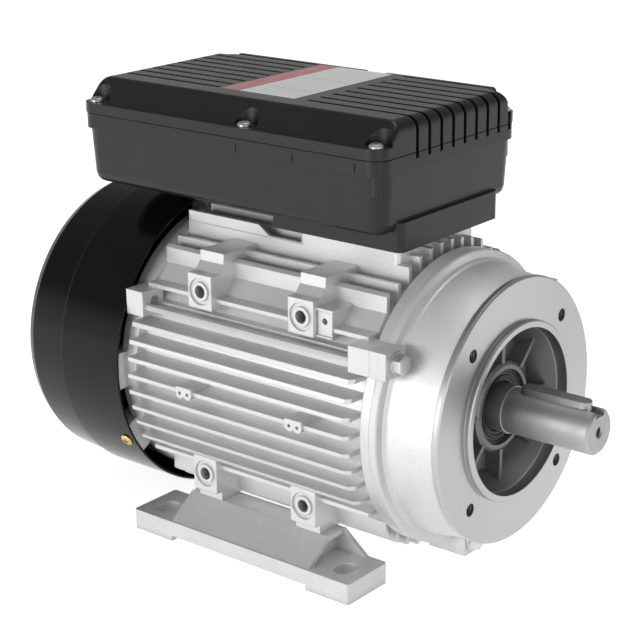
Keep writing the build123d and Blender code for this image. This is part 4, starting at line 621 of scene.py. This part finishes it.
# Rating label
# A bare plastic film in a shallow recess of the lid: a pale red band at the rear and a
# white field with an empty ruled form, and nothing written on it.
def off(tree, value, middle):
    """The distance of value from middle."""
    return maths(tree, "ABSOLUTE", maths(tree, "SUBTRACT", value, middle))


BAND_X = -156.0 * MM
FORM_X, FORM_END_X = -152.2 * MM, -122.2 * MM
FORM_Y, FORM_HALF = 11 * MM, 38.1 * MM
ROW_HALF = 2.1 * MM
film, tree, shader = blank("bare_film", Coat_Weight=0.15)
here = place(tree)
band = ramp(tree, here["x"], BAND_X, BAND_X - 0.2 * MM)
rows = maths(tree, "PINGPONG", maths(tree, "SUBTRACT", here["x"], FORM_X + 0.2 * MM), ROW_HALF)
inside = times(tree, ramp(tree, off(tree, here["y"], FORM_Y), FORM_HALF + 0.1 * MM, FORM_HALF - 0.1 * MM),
               times(tree, ramp(tree, here["x"], FORM_X - 0.1 * MM, FORM_X + 0.1 * MM),
                     ramp(tree, here["x"], FORM_END_X + 0.1 * MM, FORM_END_X - 0.1 * MM)))
fields = times(tree, ramp(tree, rows, 0.32 * MM, 0.18 * MM), inside)
for column in (-12 * MM, 18 * MM):
    near = ramp(tree, off(tree, here["y"], column), 0.35 * MM, 0.2 * MM)
    fields = maths(tree, "MAXIMUM", fields, times(tree, near, inside))
paper = noise(tree, here["spot"], 140.0, 3.0)
white = blend_colour(tree, paper, (0.92, 0.91, 0.90, 1.0), (0.96, 0.95, 0.94, 1.0))
ruled = blend_colour(tree, times(tree, fields, 0.8), white, (0.30, 0.28, 0.28, 1.0))
red = blend_colour(tree, paper, (0.50, 0.10, 0.12, 1.0), (0.62, 0.18, 0.19, 1.0))
feed(tree, shader, Base_Color=blend_colour(tree, band, ruled, red),
     Roughness=ramp(tree, paper, 0.3, 0.7, 0.38, 0.28))
raised(tree, shader, paper, 0.1, 0.1 * MM)
dress(film, "rating_label")


# Studio
# A plain white floor and a white surround that darkens overhead, a large soft lamp on
# the near side, weaker ones above and before the shaft, and the photograph's camera.
def looked_at(tree):
    """1 for rays that carry a picture of the surface, 0 for those that only carry its light."""
    seen = add(tree, "ShaderNodeLightPath").outputs
    mirrored = maths(tree, "MAXIMUM", seen["Is Glossy Ray"], seen["Is Transmission Ray"])
    return maths(tree, "MAXIMUM", seen["Is Camera Ray"], mirrored)


FLOOR_HALF, FLOOR_Z = 6, cad_box[0][2]
floor_mesh = bpy.data.meshes.new("floor")
floor_mesh.from_pydata([(x * FLOOR_HALF, y * FLOOR_HALF, FLOOR_Z) for x, y in ((-1, -1), (1, -1), (1, 1), (-1, 1))],
                       [], [(0, 1, 2, 3)])
floor = bpy.data.objects.new("floor", floor_mesh)
bpy.context.scene.collection.objects.link(floor)
floor_paint, tree, shader = blank("floor_paint", Roughness=0.9, Specular_IOR_Level=0.1)
shader.inputs["Emission Color"].default_value = grey(1.0)
looks = looked_at(tree)
feed(tree, shader, Base_Color=blend_colour(tree, looks, grey(0.62), grey(1.0)),
     Emission_Strength=times(tree, looks, 0.8))
floor_mesh.materials.append(floor_paint)

world = bpy.data.worlds.new("studio")
bpy.context.scene.world = world
world.use_nodes = True
tree = world.node_tree
ray = add(tree, "ShaderNodeTexCoord").outputs["Generated"]
overhead = ramp(tree, add(tree, "ShaderNodeSeparateXYZ", {0: ray}).outputs[2], 0.06, 0.28, 1.0, 0.24)
feed(tree, tree.nodes["Background"],
     Strength=times(tree, ramp(tree, looked_at(tree), 0, 1, 0.85, 1.0), overhead))
tree.nodes["Background"].inputs["Color"].default_value = grey(1.0)


def lamp(name, spot, aim, size, watts):
    light = bpy.data.lights.new(name, "AREA")
    light.shape = "RECTANGLE"
    light.size, light.size_y = size
    light.energy = watts
    made = bpy.data.objects.new(name, light)
    made.location = spot
    made.rotation_euler = (Vector(aim) - Vector(spot)).to_track_quat("-Z", "Y").to_euler()
    bpy.context.scene.collection.objects.link(made)


lamp("key_softbox", (-0.5, -1.8, 0.3), (-0.1, 0, 0), (1.1, 0.6), 14.5)
lamp("top_softbox", (-0.1, 0.3, 1.5), (-0.1, 0, 0), (1.0, 0.7), 6)
lamp("front_softbox", (1.5, -0.9, 0.2), (0, 0, 0), (0.8, 0.8), 4)

# The camera was solved from points in the photograph.
SENSOR_WIDTH, FOCAL_PIXELS, PHOTO_PIXELS = 36, 1740.70398, 640
CAMERA_SPOT = Vector((442.003, -703.488, 325.041)) * MM
yaw, pitch, roll = math.radians(39.0364), math.radians(18.4758), math.radians(-0.4773)
camera_data = bpy.data.cameras.new("camera")
camera_data.sensor_width = SENSOR_WIDTH
camera_data.lens = FOCAL_PIXELS / PHOTO_PIXELS * SENSOR_WIDTH
camera = bpy.data.objects.new("camera", camera_data)
bpy.context.scene.collection.objects.link(camera)
ahead = Vector((-math.sin(yaw) * math.cos(pitch), math.cos(yaw) * math.cos(pitch), -math.sin(pitch)))
right = Vector((math.cos(yaw), math.sin(yaw), 0))
up = right.cross(ahead)
tilted_right = right * math.cos(roll) + up * math.sin(roll)
tilted_up = up * math.cos(roll) - right * math.sin(roll)
pose = Matrix((tilted_right, tilted_up, -ahead)).transposed().to_4x4()
pose.translation = CAMERA_SPOT
camera.matrix_world = pose
bpy.context.scene.camera = camera
bpy.context.scene.view_settings.view_transform = "Standard"
